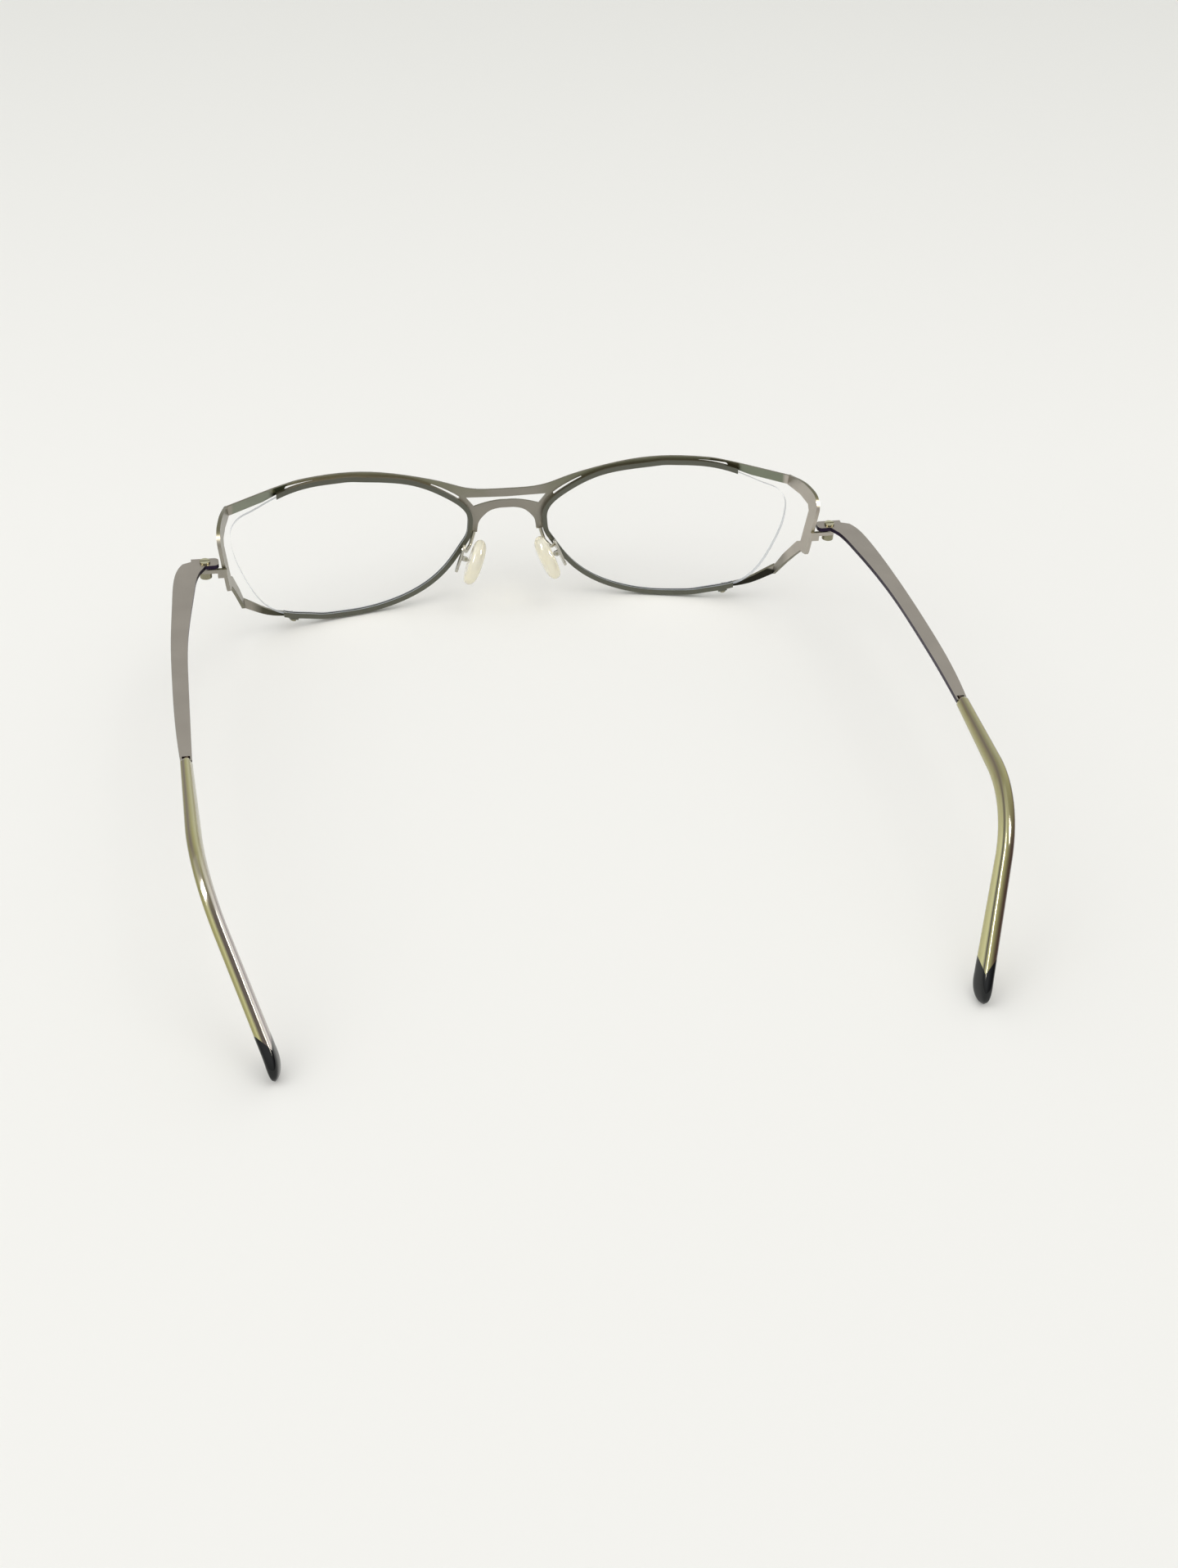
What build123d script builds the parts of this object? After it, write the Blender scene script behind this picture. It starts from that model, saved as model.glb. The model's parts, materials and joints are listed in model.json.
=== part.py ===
from build123d import *
import math
import os

# Oval spectacle frame, seen from the wearer's side: +X is the wearer's right,
# +Y points out of the front and +Z is up. The frame stands on the two lower
# rims and the two temple tips, and z = 0 is the surface under them.

# Lens box: the size numbers that a frame is sold by
lens_width = 54.8
lens_height = 31.7
bridge_width = 17.7
lens_t = 1.2

# Front: a folded sheet that leans forward at the top and bows round the face
front_lean = 12.0
front_ahead = 21.09
bow_radius = 133.0
bow_start = 10.8
sheet_t = 0.8
wing_slope = 28.0
wing_h = 2.1
lower_wing_h = 2.2
corner_r = 0.35

# Eyewire: a grooved strip soldered behind the sheet
rim_h = 1.1
rim_depth = 1.4
groove_depth = 0.4
groove_w = 0.62
fit_gap = 0.04

# Side plate: the C-shaped cage between the front and the hinge
cage_depth = 15.7
cage_flare = 8.0

# Hinge: an upright screw through the temple eye and the bracket ear
hinge_x = 69.6
eye_top_z = 27.7
eye_reach = 2.9
eye_half_w = 1.5
plate_t = 0.9
washer_t = 0.2
washer_r = 1.3
running_gap = 0.05
shank_r = 0.6
head_r = 1.1
head_h = 0.35
slot_w = 0.32
slot_depth = 0.2
nut_r = 1.3
nut_h = 1.45
ear_t = 0.9
ear_r = 1.4
tab_t = 0.7
tab_w = 1.95
tab_drop = 1.2

# Temple: a flat strip that carries a moulded tip on a wire core
temple_reach = 70.3
temple_out = 6.45
temple_rise = 1.6
rise_start = 4.2
prong_l = 1.3

# Temple tip, drawn in the plane of its bend
tip_gap = 0.15
bend_reach = 101.0
bend_out = 5.76
bend_z = 27.8
foot_reach = 126.3
foot_in = 5.35
foot_z = 0.95
bend_r = 26.0
tip_w_start = 2.0
tip_w = 2.5
tip_h_start = 2.5
tip_h_bend = 3.3
tip_h_end = 4.8
tip_corner_share = 0.27
core_w = 1.2
core_t = 0.8
core_stop = 13.0
cap_l = 9.6
notch_l = 4.2

# Nose pads
pad_l = 11.0
pad_w = 6.5
pad_t = 2.4
pad_x = 8.8
pad_ahead = 17.85
pad_z = 12.3
pad_turn = 10.9
pad_dip = 19.3
pad_lean = 30.5
pivot_h = 0.8
stem_w = 1.0
stem_l = 1.0
stem_gap = 0.2
box_l = 1.2
box_wall = 0.4
arm_r = 0.42
arm_bend_r = 0.8
holder_w = 2.1
holder_l = 6.6
holder_t = 0.5
holder_side = 0.9
holder_above = 0.3
pin_r = 0.3
pin_head_r = 0.5
pin_head_h = 0.25

# Rim lock: a lug and a screw that close the eyewire under the lens
lug_l = 2.2
lug_t = 0.4
lock_head_r = 0.65
lock_head_h = 0.35
lock_shank_r = 0.3

# Cutting and intersecting tools run past the piece by this much
overrun = 40.0

os.makedirs("parts", exist_ok=True)


def finish(piece, name):
    """Label a finished piece and write it to its own file."""
    piece.part.label = name
    export_step(piece.part, f"parts/{name}.step")


def pair(right, name):
    """Write a right-hand piece and its mirror image for the left hand."""
    with BuildPart() as left:
        mirror(right.part, about=Plane.YZ)
    finish(right, f"{name}_right")
    finish(left, f"{name}_left")


# Front coordinates: x runs across, v up the leaning front, w out of it
lean_sin = math.sin(math.radians(front_lean))
lean_cos = math.cos(math.radians(front_lean))
across_dir = Vector(1, 0, 0)
up_dir = Vector(0, lean_sin, lean_cos)
out_dir = Vector(0, lean_cos, -lean_sin)


def bow(x):
    """How far the front has curved back at a distance x from the middle."""
    reach = abs(x) - bow_start
    if reach < 0:
        return 0
    return bow_radius - math.sqrt(bow_radius**2 - reach**2)


def station(across, rise):
    """Front point from shares: 0 to 1 spans half the bridge, 1 to 2 a lens."""
    x = across * bridge_width / 2
    if across > 1:
        x = bridge_width / 2 + (across - 1) * lens_width
    return (x, rise * lens_height)


def stations(shares):
    """Front points for a whole table of shares."""
    return [station(across, rise) for across, rise in shares]


# Outlines on the front, from behind, in stations
brow_top_shares = [
    (0, 0.832), (1.014, 0.853), (1.094, 0.898), (1.203, 0.951),
    (1.368, 1.013), (1.587, 1.041), (1.696, 1.033), (1.807, 1.002),
]
wing_under_shares = [(1.860, 0.924), (1.807, 0.952), (1.775, 0.973), (1.762, 1.003)]
outer_slit_shares = [(1.762, 1.003), (1.696, 1.016), (1.651, 1.0205)]
brow_under_shares = [
    (1.638, 1.006), (1.495, 1.003), (1.368, 0.983), (1.203, 0.916), (1.167, 0.890),
]
inner_slit_shares = [(1.156, 0.901), (1.094, 0.851), (1.050, 0.805), (1.037, 0.789)]
leg_edge_shares = [
    (1.043, 0.770), (1.021, 0.716), (1.002, 0.650), (0.972, 0.593), (0.977, 0.552),
    (0.938, 0.517),
]
arch_shares = [
    (0.791, 0.517), (0.734, 0.596), (0.588, 0.645), (0.429, 0.676), (0.203, 0.691),
    (0, 0.692),
]
slot_top_shares = [(0, 0.775), (1.012, 0.782)]
slot_under_shares = [(0.859, 0.710), (0.594, 0.731), (0.260, 0.747), (0, 0.748)]
fold_top_share = (2.003, 0.946)
fold_low_share = (1.962, 0.213)
lower_wing_top_shares = [(1.882, 0.142), (1.842, 0.101), (1.8045, 0.0757), (1.7655, 0.060)]
lower_wing_under_shares = [(1.7655, 0.033), (1.8045, 0.0457), (1.882, 0.0946)]

# Side plate outline, back and up from the top of the fold, in cage depths
cage_top_shares = [
    (-0.121, 0.038), (-0.465, 0.127), (-0.688, 0.146), (-0.854, 0.127),
    (-0.955, 0.057), (-1.000, -0.045),
]
cage_lug_shares = [
    (-1.000, -0.700), (-0.985, -0.750), (-0.904, -0.771), (-0.822, -0.777),
]
cage_brace_shares = [(-0.662, -0.962), (-0.484, -1.185)]
cage_window_shares = [
    (-0.376, -1.108), (-0.611, -0.790), (-0.675, -0.707), (-0.771, -0.650),
    (-0.783, -0.140), (-0.720, -0.070), (-0.446, -0.064),
]

# Pad arm wire: across, rise and depth, from the foot of the bridge
arm_shares = [(0.876, 0.529, -0.0142), (0.989, 0.428, -0.0142), (1.021, 0.3965, -0.0741)]

# Lens outline, clockwise from its top: shares of the lens box
lock_share = (0.76, 0.052)
upper_outer_shares = [
    (0.587, 1.000), (0.700, 0.989), (0.804, 0.946), (0.915, 0.872), (0.975, 0.828),
    (1.000, 0.690),
]
lower_outer_shares = [
    (1.000, 0.690), (0.990, 0.570), (0.950, 0.378), (0.897, 0.208), (0.850, 0.122),
    lock_share, (0.694, 0.027), (0.523, 0.000),
]
lower_inner_shares = [
    (0.523, 0.000), (0.3695, 0.0287), (0.209, 0.132), (0.092, 0.300), (0.0197, 0.476),
    (0.000, 0.606),
]
upper_inner_shares = [
    (0.000, 0.606), (0.0593, 0.772), (0.2035, 0.906), (0.313, 0.956), (0.477, 0.994),
    (0.587, 1.000),
]
outline_stops = 48
rim_end_share = 0.8035
lowest_share = 0.50

# Rounded end of the temple tip: shares of its last stretch, and its size there
tip_end_shares = [(0.0, 1.0), (0.52, 0.86), (0.84, 0.66), (1.0, 0.38)]
end_round_l = 3.0

# The lowest point of the eyewire rests on z = 0. The origin lies midway
# between the brow and the ends of the tips.
lowest_x = bridge_width / 2 + lowest_share * lens_width
front_z = (rim_h - groove_depth) * lean_cos - bow(lowest_x) * lean_sin
brow_x, brow_v = station(*brow_top_shares[3])
brow_ahead = front_ahead + brow_v * lean_sin + (sheet_t - bow(brow_x)) * lean_cos
foot_l = math.hypot(bend_out + foot_in, foot_reach - bend_reach, bend_z - foot_z)
foot_upright = math.hypot(bend_out + foot_in, bend_z - foot_z) / foot_l
foot_over = tip_h_end * tip_end_shares[-1][1] / 2 * foot_upright
hinge_y = (foot_reach + foot_over - brow_ahead) / 2
front_y = hinge_y + front_ahead
front_origin = Vector(0, front_y, front_z)
front_plane = Plane(origin=front_origin, x_dir=across_dir, z_dir=out_dir * -1)
plan_plane = Plane(origin=front_origin - up_dir * overrun, x_dir=across_dir, z_dir=up_dir)
behind_plane = front_plane.offset(overrun)


def on_front(x, v, w=0):
    """A point of the bowed front as a point in space."""
    return front_origin + across_dir * x + up_dir * v + out_dir * (w - bow(x))


# Beyond the crease the sheet runs straight back as a wing, above and below
wing_x, wing_v = station(*brow_top_shares[-1])
wing_tan = math.tan(math.radians(wing_slope))
wing_normal = (
    across_dir * math.sin(math.radians(wing_slope))
    + out_dir * math.cos(math.radians(wing_slope))
)


def on_wing(x, v):
    """A point of the inner face of the straight wing as a point in space."""
    depth = -bow(wing_x) - (x - wing_x) * wing_tan
    return front_origin + across_dir * x + up_dir * v + out_dir * depth


fold_x, fold_v = station(*fold_top_share)
fold_low_x, fold_low_v = station(*fold_low_share)


def fold_front(v):
    """Front coordinates of the slanting fold line at a height."""
    share = (fold_v - v) / (fold_v - fold_low_v)
    return (fold_x + share * (fold_low_x - fold_x), v)


fold_top = on_wing(fold_x, fold_v)
fold_low = on_wing(fold_low_x, fold_low_v)
fold_dir = (fold_top - fold_low).normalized()
cage_back = Vector(
    math.sin(math.radians(cage_flare)), -math.cos(math.radians(cage_flare)), 0
)
cage_normal = fold_dir.cross(cage_back).normalized()
cage_plane = Plane(origin=fold_top, x_dir=cage_back * -1, z_dir=cage_normal)
bend_angle = wing_normal.get_angle(cage_normal)
bend_axis = Axis(fold_top, fold_dir * -1)
bend_plane = Plane(origin=fold_top, x_dir=wing_normal, z_dir=wing_normal.cross(fold_dir))
wing_end_plane = Plane(origin=fold_top, z_dir=fold_dir.cross(wing_normal) * -1)

# Heights of the two arms where they cross the fold
arm_top_v = fold_v
arm_under_v = fold_v - wing_h
low_arm_top_v = fold_low_v + lower_wing_h / 2
low_arm_under_v = fold_low_v - lower_wing_h / 2


def cage_points(shares):
    """Side plate points for a table of shares."""
    return [(back * cage_depth, rise * cage_depth) for back, rise in shares]


def bow_band(rear, front):
    """A band between two depths that follows the bow from the middle past the lens."""
    inner = 90 + math.degrees(math.asin(bow_start / bow_radius))
    reach = inner - 90 + math.degrees(math.asin((hinge_x - bow_start) / bow_radius))
    centre = (bow_start, -bow_radius)
    with BuildLine() as band:
        ahead = CenterArc(centre, bow_radius + front, inner, -reach)
        behind = CenterArc(centre, bow_radius + rear, inner, -reach)
        Line(ahead @ 0, behind @ 0)
        Line(ahead @ 1, behind @ 1)
    make_face(band.edges())


def lens_points(shares):
    """Front points from shares of the lens box."""
    return [
        (bridge_width / 2 + across * lens_width, rise * lens_height)
        for across, rise in shares
    ]


# Lens outline and the two edges of the eyewire, in front coordinates
with BuildSketch() as lens_area:
    with BuildLine():
        Spline(*lens_points(upper_outer_shares), tangents=[(1, 0), (0, -1)])
        Spline(*lens_points(lower_outer_shares), tangents=[(0, -1), (-1, 0)])
        Spline(*lens_points(lower_inner_shares), tangents=[(-1, 0), (0, 1)])
        Spline(*lens_points(upper_inner_shares), tangents=[(0, 1), (1, 0)])
    make_face()


def beside_lens(gap):
    """The lens outline moved outward by a gap, or inward where it is negative."""
    loop = lens_area.wire()
    middle = lens_area.face().center()
    moved = []
    for stop in range(outline_stops):
        at = loop @ (stop / outline_stops)
        along = loop % (stop / outline_stops)
        aside = Vector(-along.Y, along.X)
        if aside.dot(at - middle) < 0:
            aside = aside * -1
        moved.append(at + aside * gap)
    return Spline(*moved, periodic=True)


with BuildSketch() as rim_outside:
    make_face(beside_lens(rim_h - groove_depth))

with BuildSketch() as rim_inside:
    make_face(beside_lens(-groove_depth))

with BuildSketch() as lens_flange:
    make_face(beside_lens(-fit_gap))

with BuildSketch() as lens_body:
    make_face(beside_lens(-groove_depth - fit_gap))

# Front sheet: double bridge, brow bars, wings and the C-shaped side plates
wing_out_x = fold_x + 2 * sheet_t
with BuildPart() as front_sheet:
    with BuildSketch(behind_plane):
        with BuildLine():
            brow = Spline(
                *stations(brow_top_shares), tangents=[(1, 0), (1, -0.19)]
            )
            wing_drop = (wing_v - fold_v) / (fold_x - wing_x) * (wing_out_x - wing_x)
            wing_top = Line(brow @ 1, (wing_out_x, wing_v - wing_drop))
            wing_end = Line(wing_top @ 1, (wing_out_x, wing_v - wing_drop - wing_h))
            under = Polyline(wing_end @ 1, *stations(wing_under_shares))
            slit = Spline(*stations(outer_slit_shares))
            step = Line(slit @ 1, station(*brow_under_shares[0]))
            hidden = Spline(*stations(brow_under_shares))
            Line(hidden @ 1, station(*inner_slit_shares[0]))
            slit_in = Spline(*stations(inner_slit_shares))
            Line(slit_in @ 1, station(*leg_edge_shares[0]))
            leg = Spline(*stations(leg_edge_shares))
            foot = Line(leg @ 1, station(*arch_shares[0]))
            arch = Spline(*stations(arch_shares), tangents=[(-0.1, 1), (-1, 0)])
            Line(arch @ 1, brow @ 0)
        make_face()
        with BuildLine():
            slot_top = Line(*stations(slot_top_shares))
            Line(slot_top @ 1, station(*slot_under_shares[0]))
            slot_under = Spline(*stations(slot_under_shares))
            Line(slot_under @ 1, slot_top @ 0)
        make_face(mode=Mode.SUBTRACT)
        with BuildLine():
            low_top = Spline(
                (wing_out_x, fold_low_v + (wing_out_x - fold_low_x) * wing_tan + lower_wing_h / 2),
                fold_front(low_arm_top_v),
                *stations(lower_wing_top_shares),
            )
            Line(low_top @ 1, station(*lower_wing_under_shares[0]))
            low_under = Spline(
                *stations(lower_wing_under_shares),
                fold_front(low_arm_under_v),
                (wing_out_x, fold_low_v + (wing_out_x - fold_low_x) * wing_tan - lower_wing_h / 2),
            )
            Line(low_under @ 1, low_top @ 0)
        make_face()
    extrude(amount=-2 * overrun)
    with BuildSketch(plan_plane):
        crease_angle = math.degrees(math.asin((wing_x - bow_start) / bow_radius))
        centre = (bow_start, -bow_radius)
        crease = Vector(wing_x, -bow(wing_x))
        normal = Vector(math.sin(math.radians(wing_slope)), math.cos(math.radians(wing_slope)))
        end = Vector(wing_out_x, -bow(wing_x) - (wing_out_x - wing_x) * wing_tan)
        with BuildLine():
            flat = Line((0, sheet_t), (bow_start, sheet_t))
            bowed = CenterArc(centre, bow_radius + sheet_t, 90, -crease_angle)
            back = CenterArc(centre, bow_radius, 90 - crease_angle, crease_angle)
            Polyline(bowed @ 1, crease + normal * sheet_t, end + normal * sheet_t, end, back @ 0)
            Polyline(back @ 1, (0, 0), flat @ 0)
        make_face()
    extrude(amount=2 * overrun, mode=Mode.INTERSECT)
    split(bisect_by=wing_end_plane, keep=Keep.BOTTOM)
    # The sheet turns round the slanting fold at both arms
    for top_v, under_v in ((arm_top_v, arm_under_v), (low_arm_top_v, low_arm_under_v)):
        top_at = bend_plane.to_local_coords(on_wing(*fold_front(top_v)))
        under_at = bend_plane.to_local_coords(on_wing(*fold_front(under_v)))
        with BuildSketch(bend_plane):
            with BuildLine():
                Polyline(
                    (0, top_at.Y), (sheet_t, top_at.Y), (sheet_t, under_at.Y), (0, under_at.Y),
                    close=True,
                )
            make_face()
        revolve(axis=bend_axis, revolution_arc=bend_angle)
    # The side plate runs back from the fold and carries the hinge
    with BuildSketch(cage_plane):
        fold_points = [
            cage_plane.to_local_coords(on_wing(*fold_front(v)))
            for v in (arm_top_v, arm_under_v, low_arm_top_v, low_arm_under_v)
        ]
        fold_ends = [(point.X, point.Y) for point in fold_points]
        with BuildLine():
            over = Spline(fold_ends[0], *cage_points(cage_top_shares))
            rear = Line(over @ 1, cage_points(cage_lug_shares)[0])
            lug_edge = Polyline(*cage_points(cage_lug_shares))
            brace = Polyline(lug_edge @ 1, *cage_points(cage_brace_shares), fold_ends[3])
            low_end = Line(brace @ 1, fold_ends[2])
            inner = Polyline(low_end @ 1, *cage_points(cage_window_shares), fold_ends[1])
            Line(inner @ 1, over @ 0)
        make_face()
    extrude(amount=sheet_t)
    mirror(about=Plane.YZ)
finish(front_sheet, "front_sheet")

# Eyewires: the grooved strip round each lens, open at the outer end
rim_end_x = bridge_width / 2 + rim_end_share * lens_width
rim_end_plane = Plane(origin=(rim_end_x, 0, 0), z_dir=across_dir)
groove_mid = -rim_depth / 2
with BuildPart() as groove:
    with BuildSketch(behind_plane):
        add(lens_area.sketch)
    extrude(amount=-2 * overrun)
    with BuildSketch(plan_plane):
        bow_band(groove_mid - groove_w / 2, groove_mid + groove_w / 2)
    extrude(amount=2 * overrun, mode=Mode.INTERSECT)

# The lock sits where the lower end of the eyewire is screwed shut
lock_x = bridge_width / 2 + lock_share[0] * lens_width
lock_v = lock_share[1] * lens_height
lock_edge = lens_area.edges().sort_by_distance((lock_x, lock_v, 0))[0]
lock_tangent = lock_edge.tangent_at((lock_x, lock_v, 0))
if lock_tangent.X < 0:
    lock_tangent = lock_tangent * -1
lock_slope = (lock_x - bow_start) / math.sqrt(bow_radius**2 - (lock_x - bow_start) ** 2)
lock_along = (
    across_dir * lock_tangent.X + up_dir * lock_tangent.Y
    - out_dir * (lock_slope * lock_tangent.X)
).normalized()
lock_down = (across_dir * lock_tangent.Y - up_dir * lock_tangent.X).normalized()
lock_plane = Plane(
    origin=on_front(lock_x, lock_v, groove_mid) + lock_down * (rim_h - groove_depth),
    x_dir=lock_along,
    z_dir=lock_down,
)

with BuildPart() as eyewire:
    with BuildSketch(behind_plane):
        add(rim_outside.sketch)
        add(rim_inside.sketch, mode=Mode.SUBTRACT)
    extrude(amount=-2 * overrun)
    with BuildSketch(plan_plane):
        bow_band(-rim_depth, 0)
    extrude(amount=2 * overrun, mode=Mode.INTERSECT)
    add(groove.part, mode=Mode.SUBTRACT)
    split(bisect_by=rim_end_plane, keep=Keep.BOTTOM)
    with BuildSketch(lock_plane.offset(sheet_t)):
        Circle(lock_shank_r + fit_gap)
    extrude(amount=-sheet_t - rim_h + groove_depth + lug_t / 2, mode=Mode.SUBTRACT)
pair(eyewire, "eyewire")

with BuildPart() as lock_lug:
    with BuildSketch(lock_plane):
        Rectangle(lug_l, rim_depth)
        Circle(lock_shank_r + fit_gap, mode=Mode.SUBTRACT)
    extrude(amount=lug_t)
    fillet(lock_lug.edges().filter_by(Axis((0, 0, 0), lock_down)), corner_r)
pair(lock_lug, "rim_lock_lug")

with BuildPart() as lock_screw:
    with BuildSketch(lock_plane.offset(lug_t + fit_gap)):
        Circle(lock_head_r)
    extrude(amount=lock_head_h)
    with BuildSketch(lock_plane.offset(lug_t + fit_gap)):
        Circle(lock_shank_r)
    extrude(amount=-lug_t - rim_h + groove_depth + lug_t)
    with BuildSketch(lock_plane.offset(lug_t + fit_gap + lock_head_h)):
        Rectangle(2 * lock_head_r, slot_w / 2)
    extrude(amount=-lock_head_h / 2, mode=Mode.SUBTRACT)
pair(lock_screw, "rim_lock_screw")

# Lenses: a tongue rides in the groove, and the outer end stands free
lens_rear = groove_mid - lens_t / 2
lens_front = groove_mid + lens_t / 2
free_end_plane = Plane(origin=(rim_end_x + fit_gap, 0, 0), z_dir=across_dir)
with BuildPart() as lens_end:
    with BuildSketch(behind_plane):
        add(lens_flange.sketch)
    extrude(amount=-2 * overrun)
    with BuildSketch(plan_plane):
        bow_band(lens_rear, lens_front)
    extrude(amount=2 * overrun, mode=Mode.INTERSECT)
    split(bisect_by=free_end_plane, keep=Keep.TOP)

with BuildPart() as lens_tongue:
    with BuildSketch(behind_plane):
        add(lens_flange.sketch)
    extrude(amount=-2 * overrun)
    with BuildSketch(plan_plane):
        bow_band(
            groove_mid - groove_w / 2 + fit_gap,
            groove_mid + groove_w / 2 - fit_gap,
        )
    extrude(amount=2 * overrun, mode=Mode.INTERSECT)

with BuildPart() as lens:
    with BuildSketch(behind_plane):
        add(lens_body.sketch)
    extrude(amount=-2 * overrun)
    with BuildSketch(plan_plane):
        bow_band(lens_rear, lens_front)
    extrude(amount=2 * overrun, mode=Mode.INTERSECT)
    add(lens_tongue.part)
    add(lens_end.part)
pair(lens, "lens")

# Nose pads: each faces the nose, turned back, dipped and leaning
turn = math.radians(pad_turn)
dip = math.radians(pad_dip)
lean = math.radians(pad_lean)
pad_facing = Vector(
    -math.cos(dip) * math.cos(turn), -math.cos(dip) * math.sin(turn), -math.sin(dip)
)
pad_level = Vector(-math.sin(turn), math.cos(turn), 0)
pad_rise = pad_level.cross(pad_facing)
pad_up = pad_rise * math.cos(lean) + pad_level * math.sin(lean)
pad_centre = Vector(pad_x, hinge_y + pad_ahead, pad_z)
pad_plane = Plane(origin=pad_centre, x_dir=pad_up.cross(pad_facing), z_dir=pad_facing)
pivot_z = -pad_t / 2 - pivot_h
pivot_side = Plane(
    origin=pad_plane.from_local_coords((0, 0, pivot_z)),
    x_dir=pad_plane.y_dir,
    z_dir=pad_plane.x_dir,
)
cheek_out = stem_w / 2 + running_gap + box_wall
floor_drop = stem_l / 2 + stem_gap
floor_z = pivot_z - floor_drop

# Cushion of the pad: shares of its thickness and of its size, from the back
cushion_shares = [(-0.50, 0.80), (-0.08, 1.00), (0.30, 0.90), (0.50, 0.64)]

with BuildPart() as nose_pad:
    for depth, size in cushion_shares:
        with BuildSketch(pad_plane.offset(depth * pad_t)):
            Ellipse(size * pad_w / 2, size * pad_l / 2)
    loft(ruled=True)
    with BuildSketch(pivot_side):
        Circle(stem_l / 2)
        with Locations((0, pivot_h / 2 + fit_gap)):
            Rectangle(stem_l, pivot_h + 2 * fit_gap)
    extrude(amount=stem_w / 2, both=True)
    with BuildSketch(pivot_side):
        Circle(pin_r + running_gap)
    extrude(amount=stem_w, both=True, mode=Mode.SUBTRACT)
pair(nose_pad, "nose_pad")

with BuildPart() as pad_box:
    with BuildSketch(pivot_side):
        Circle(box_l / 2)
        with Locations((0, -floor_drop / 2)):
            Rectangle(box_l, floor_drop)
    extrude(amount=cheek_out, both=True)
    with BuildSketch(pivot_side):
        Rectangle(2 * box_l, 2 * box_l)
    extrude(amount=stem_w / 2 + running_gap, both=True, mode=Mode.SUBTRACT)
    with BuildSketch(pad_plane.offset(floor_z)):
        Rectangle(2 * cheek_out, box_l)
    extrude(amount=stem_gap / 2)
    with BuildSketch(pivot_side):
        Circle(pin_r + fit_gap / 2)
    extrude(amount=2 * cheek_out, both=True, mode=Mode.SUBTRACT)
pair(pad_box, "pad_box")

with BuildPart() as pad_screw:
    with BuildSketch(pivot_side):
        Circle(pin_r)
    extrude(amount=cheek_out, both=True)
    with BuildSketch(pivot_side.offset(-cheek_out - fit_gap)):
        Circle(pin_head_r)
    extrude(amount=-pin_head_h)
    with BuildSketch(pivot_side.offset(-cheek_out - fit_gap)):
        Circle(pin_r)
    extrude(amount=fit_gap)
    with BuildSketch(pivot_side.offset(-cheek_out - fit_gap - pin_head_h)):
        Rectangle(2 * pin_head_r, slot_w / 2)
    extrude(amount=pin_head_h / 2, mode=Mode.SUBTRACT)
pair(pad_screw, "pad_screw")

# The arm wire leaves the foot of the bridge and ends in the pad holder
holder_top = holder_l * holder_above
holder_mid = holder_top - holder_l / 2 + holder_w / 2
arm_points = [
    on_front(*station(across, rise), depth * lens_height)
    for across, rise, depth in arm_shares
]
arm_end = pad_plane.from_local_coords((-holder_side, holder_top, floor_z - holder_t / 2))
with BuildPart() as pad_arm:
    with BuildLine() as arm_path:
        FilletPolyline(*arm_points, arm_end, radius=arm_bend_r)
    with BuildSketch(Plane(origin=arm_path.wire() @ 0, z_dir=arm_path.wire() % 0)):
        Circle(arm_r)
    sweep(path=arm_path.wire(), transition=Transition.ROUND)
    with BuildSketch(pad_plane.offset(floor_z - fit_gap)):
        with Locations((-holder_side, holder_mid)):
            SlotOverall(holder_l, holder_w, rotation=90)
    extrude(amount=-holder_t)
pair(pad_arm, "pad_arm")

# Hinge, from the temple eye down: screw head, eye, washer, ear and nut
eye_under_z = eye_top_z - plate_t
washer_top_z = eye_under_z - running_gap
ear_top_z = washer_top_z - washer_t - running_gap
ear_under_z = ear_top_z - ear_t
nut_top_z = ear_under_z - fit_gap
hinge_at = (hinge_x, hinge_y)
tab_foot = ear_under_z - tab_drop - fold_top.Z
rear_face = cage_plane.from_local_coords((-cage_depth, tab_foot, 0))
tab_front_y = rear_face.Y - fit_gap
tab_in_x = rear_face.X + fit_gap

with BuildPart() as hinge_bracket:
    with BuildSketch(Plane.XY.offset(ear_under_z)):
        with BuildLine():
            Polyline(
                (tab_in_x, tab_front_y),
                (tab_in_x, hinge_y - ear_r),
                (hinge_x, hinge_y - ear_r),
                (hinge_x, hinge_y + ear_r),
                (tab_in_x + tab_w, tab_front_y),
                close=True,
            )
        make_face()
        with Locations(hinge_at):
            Circle(ear_r)
            Circle(shank_r + fit_gap, mode=Mode.SUBTRACT)
    extrude(amount=ear_t)
    with BuildSketch(Plane.XY.offset(ear_under_z - tab_drop)):
        with Locations((tab_in_x, tab_front_y)):
            Rectangle(tab_w, tab_t, align=(Align.MIN, Align.MAX))
    extrude(amount=tab_drop + ear_t)
pair(hinge_bracket, "hinge_bracket")

with BuildPart() as hinge_washer:
    with BuildSketch(Plane.XY.offset(washer_top_z - washer_t)):
        with Locations(hinge_at):
            Circle(washer_r)
            Circle(shank_r + fit_gap, mode=Mode.SUBTRACT)
    extrude(amount=washer_t)
pair(hinge_washer, "hinge_washer")

with BuildPart() as hinge_nut:
    with BuildSketch(Plane.XY.offset(nut_top_z - nut_h)):
        with Locations(hinge_at):
            Circle(nut_r)
            Circle(shank_r + fit_gap, mode=Mode.SUBTRACT)
    extrude(amount=nut_h)
pair(hinge_nut, "hinge_nut")

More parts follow.
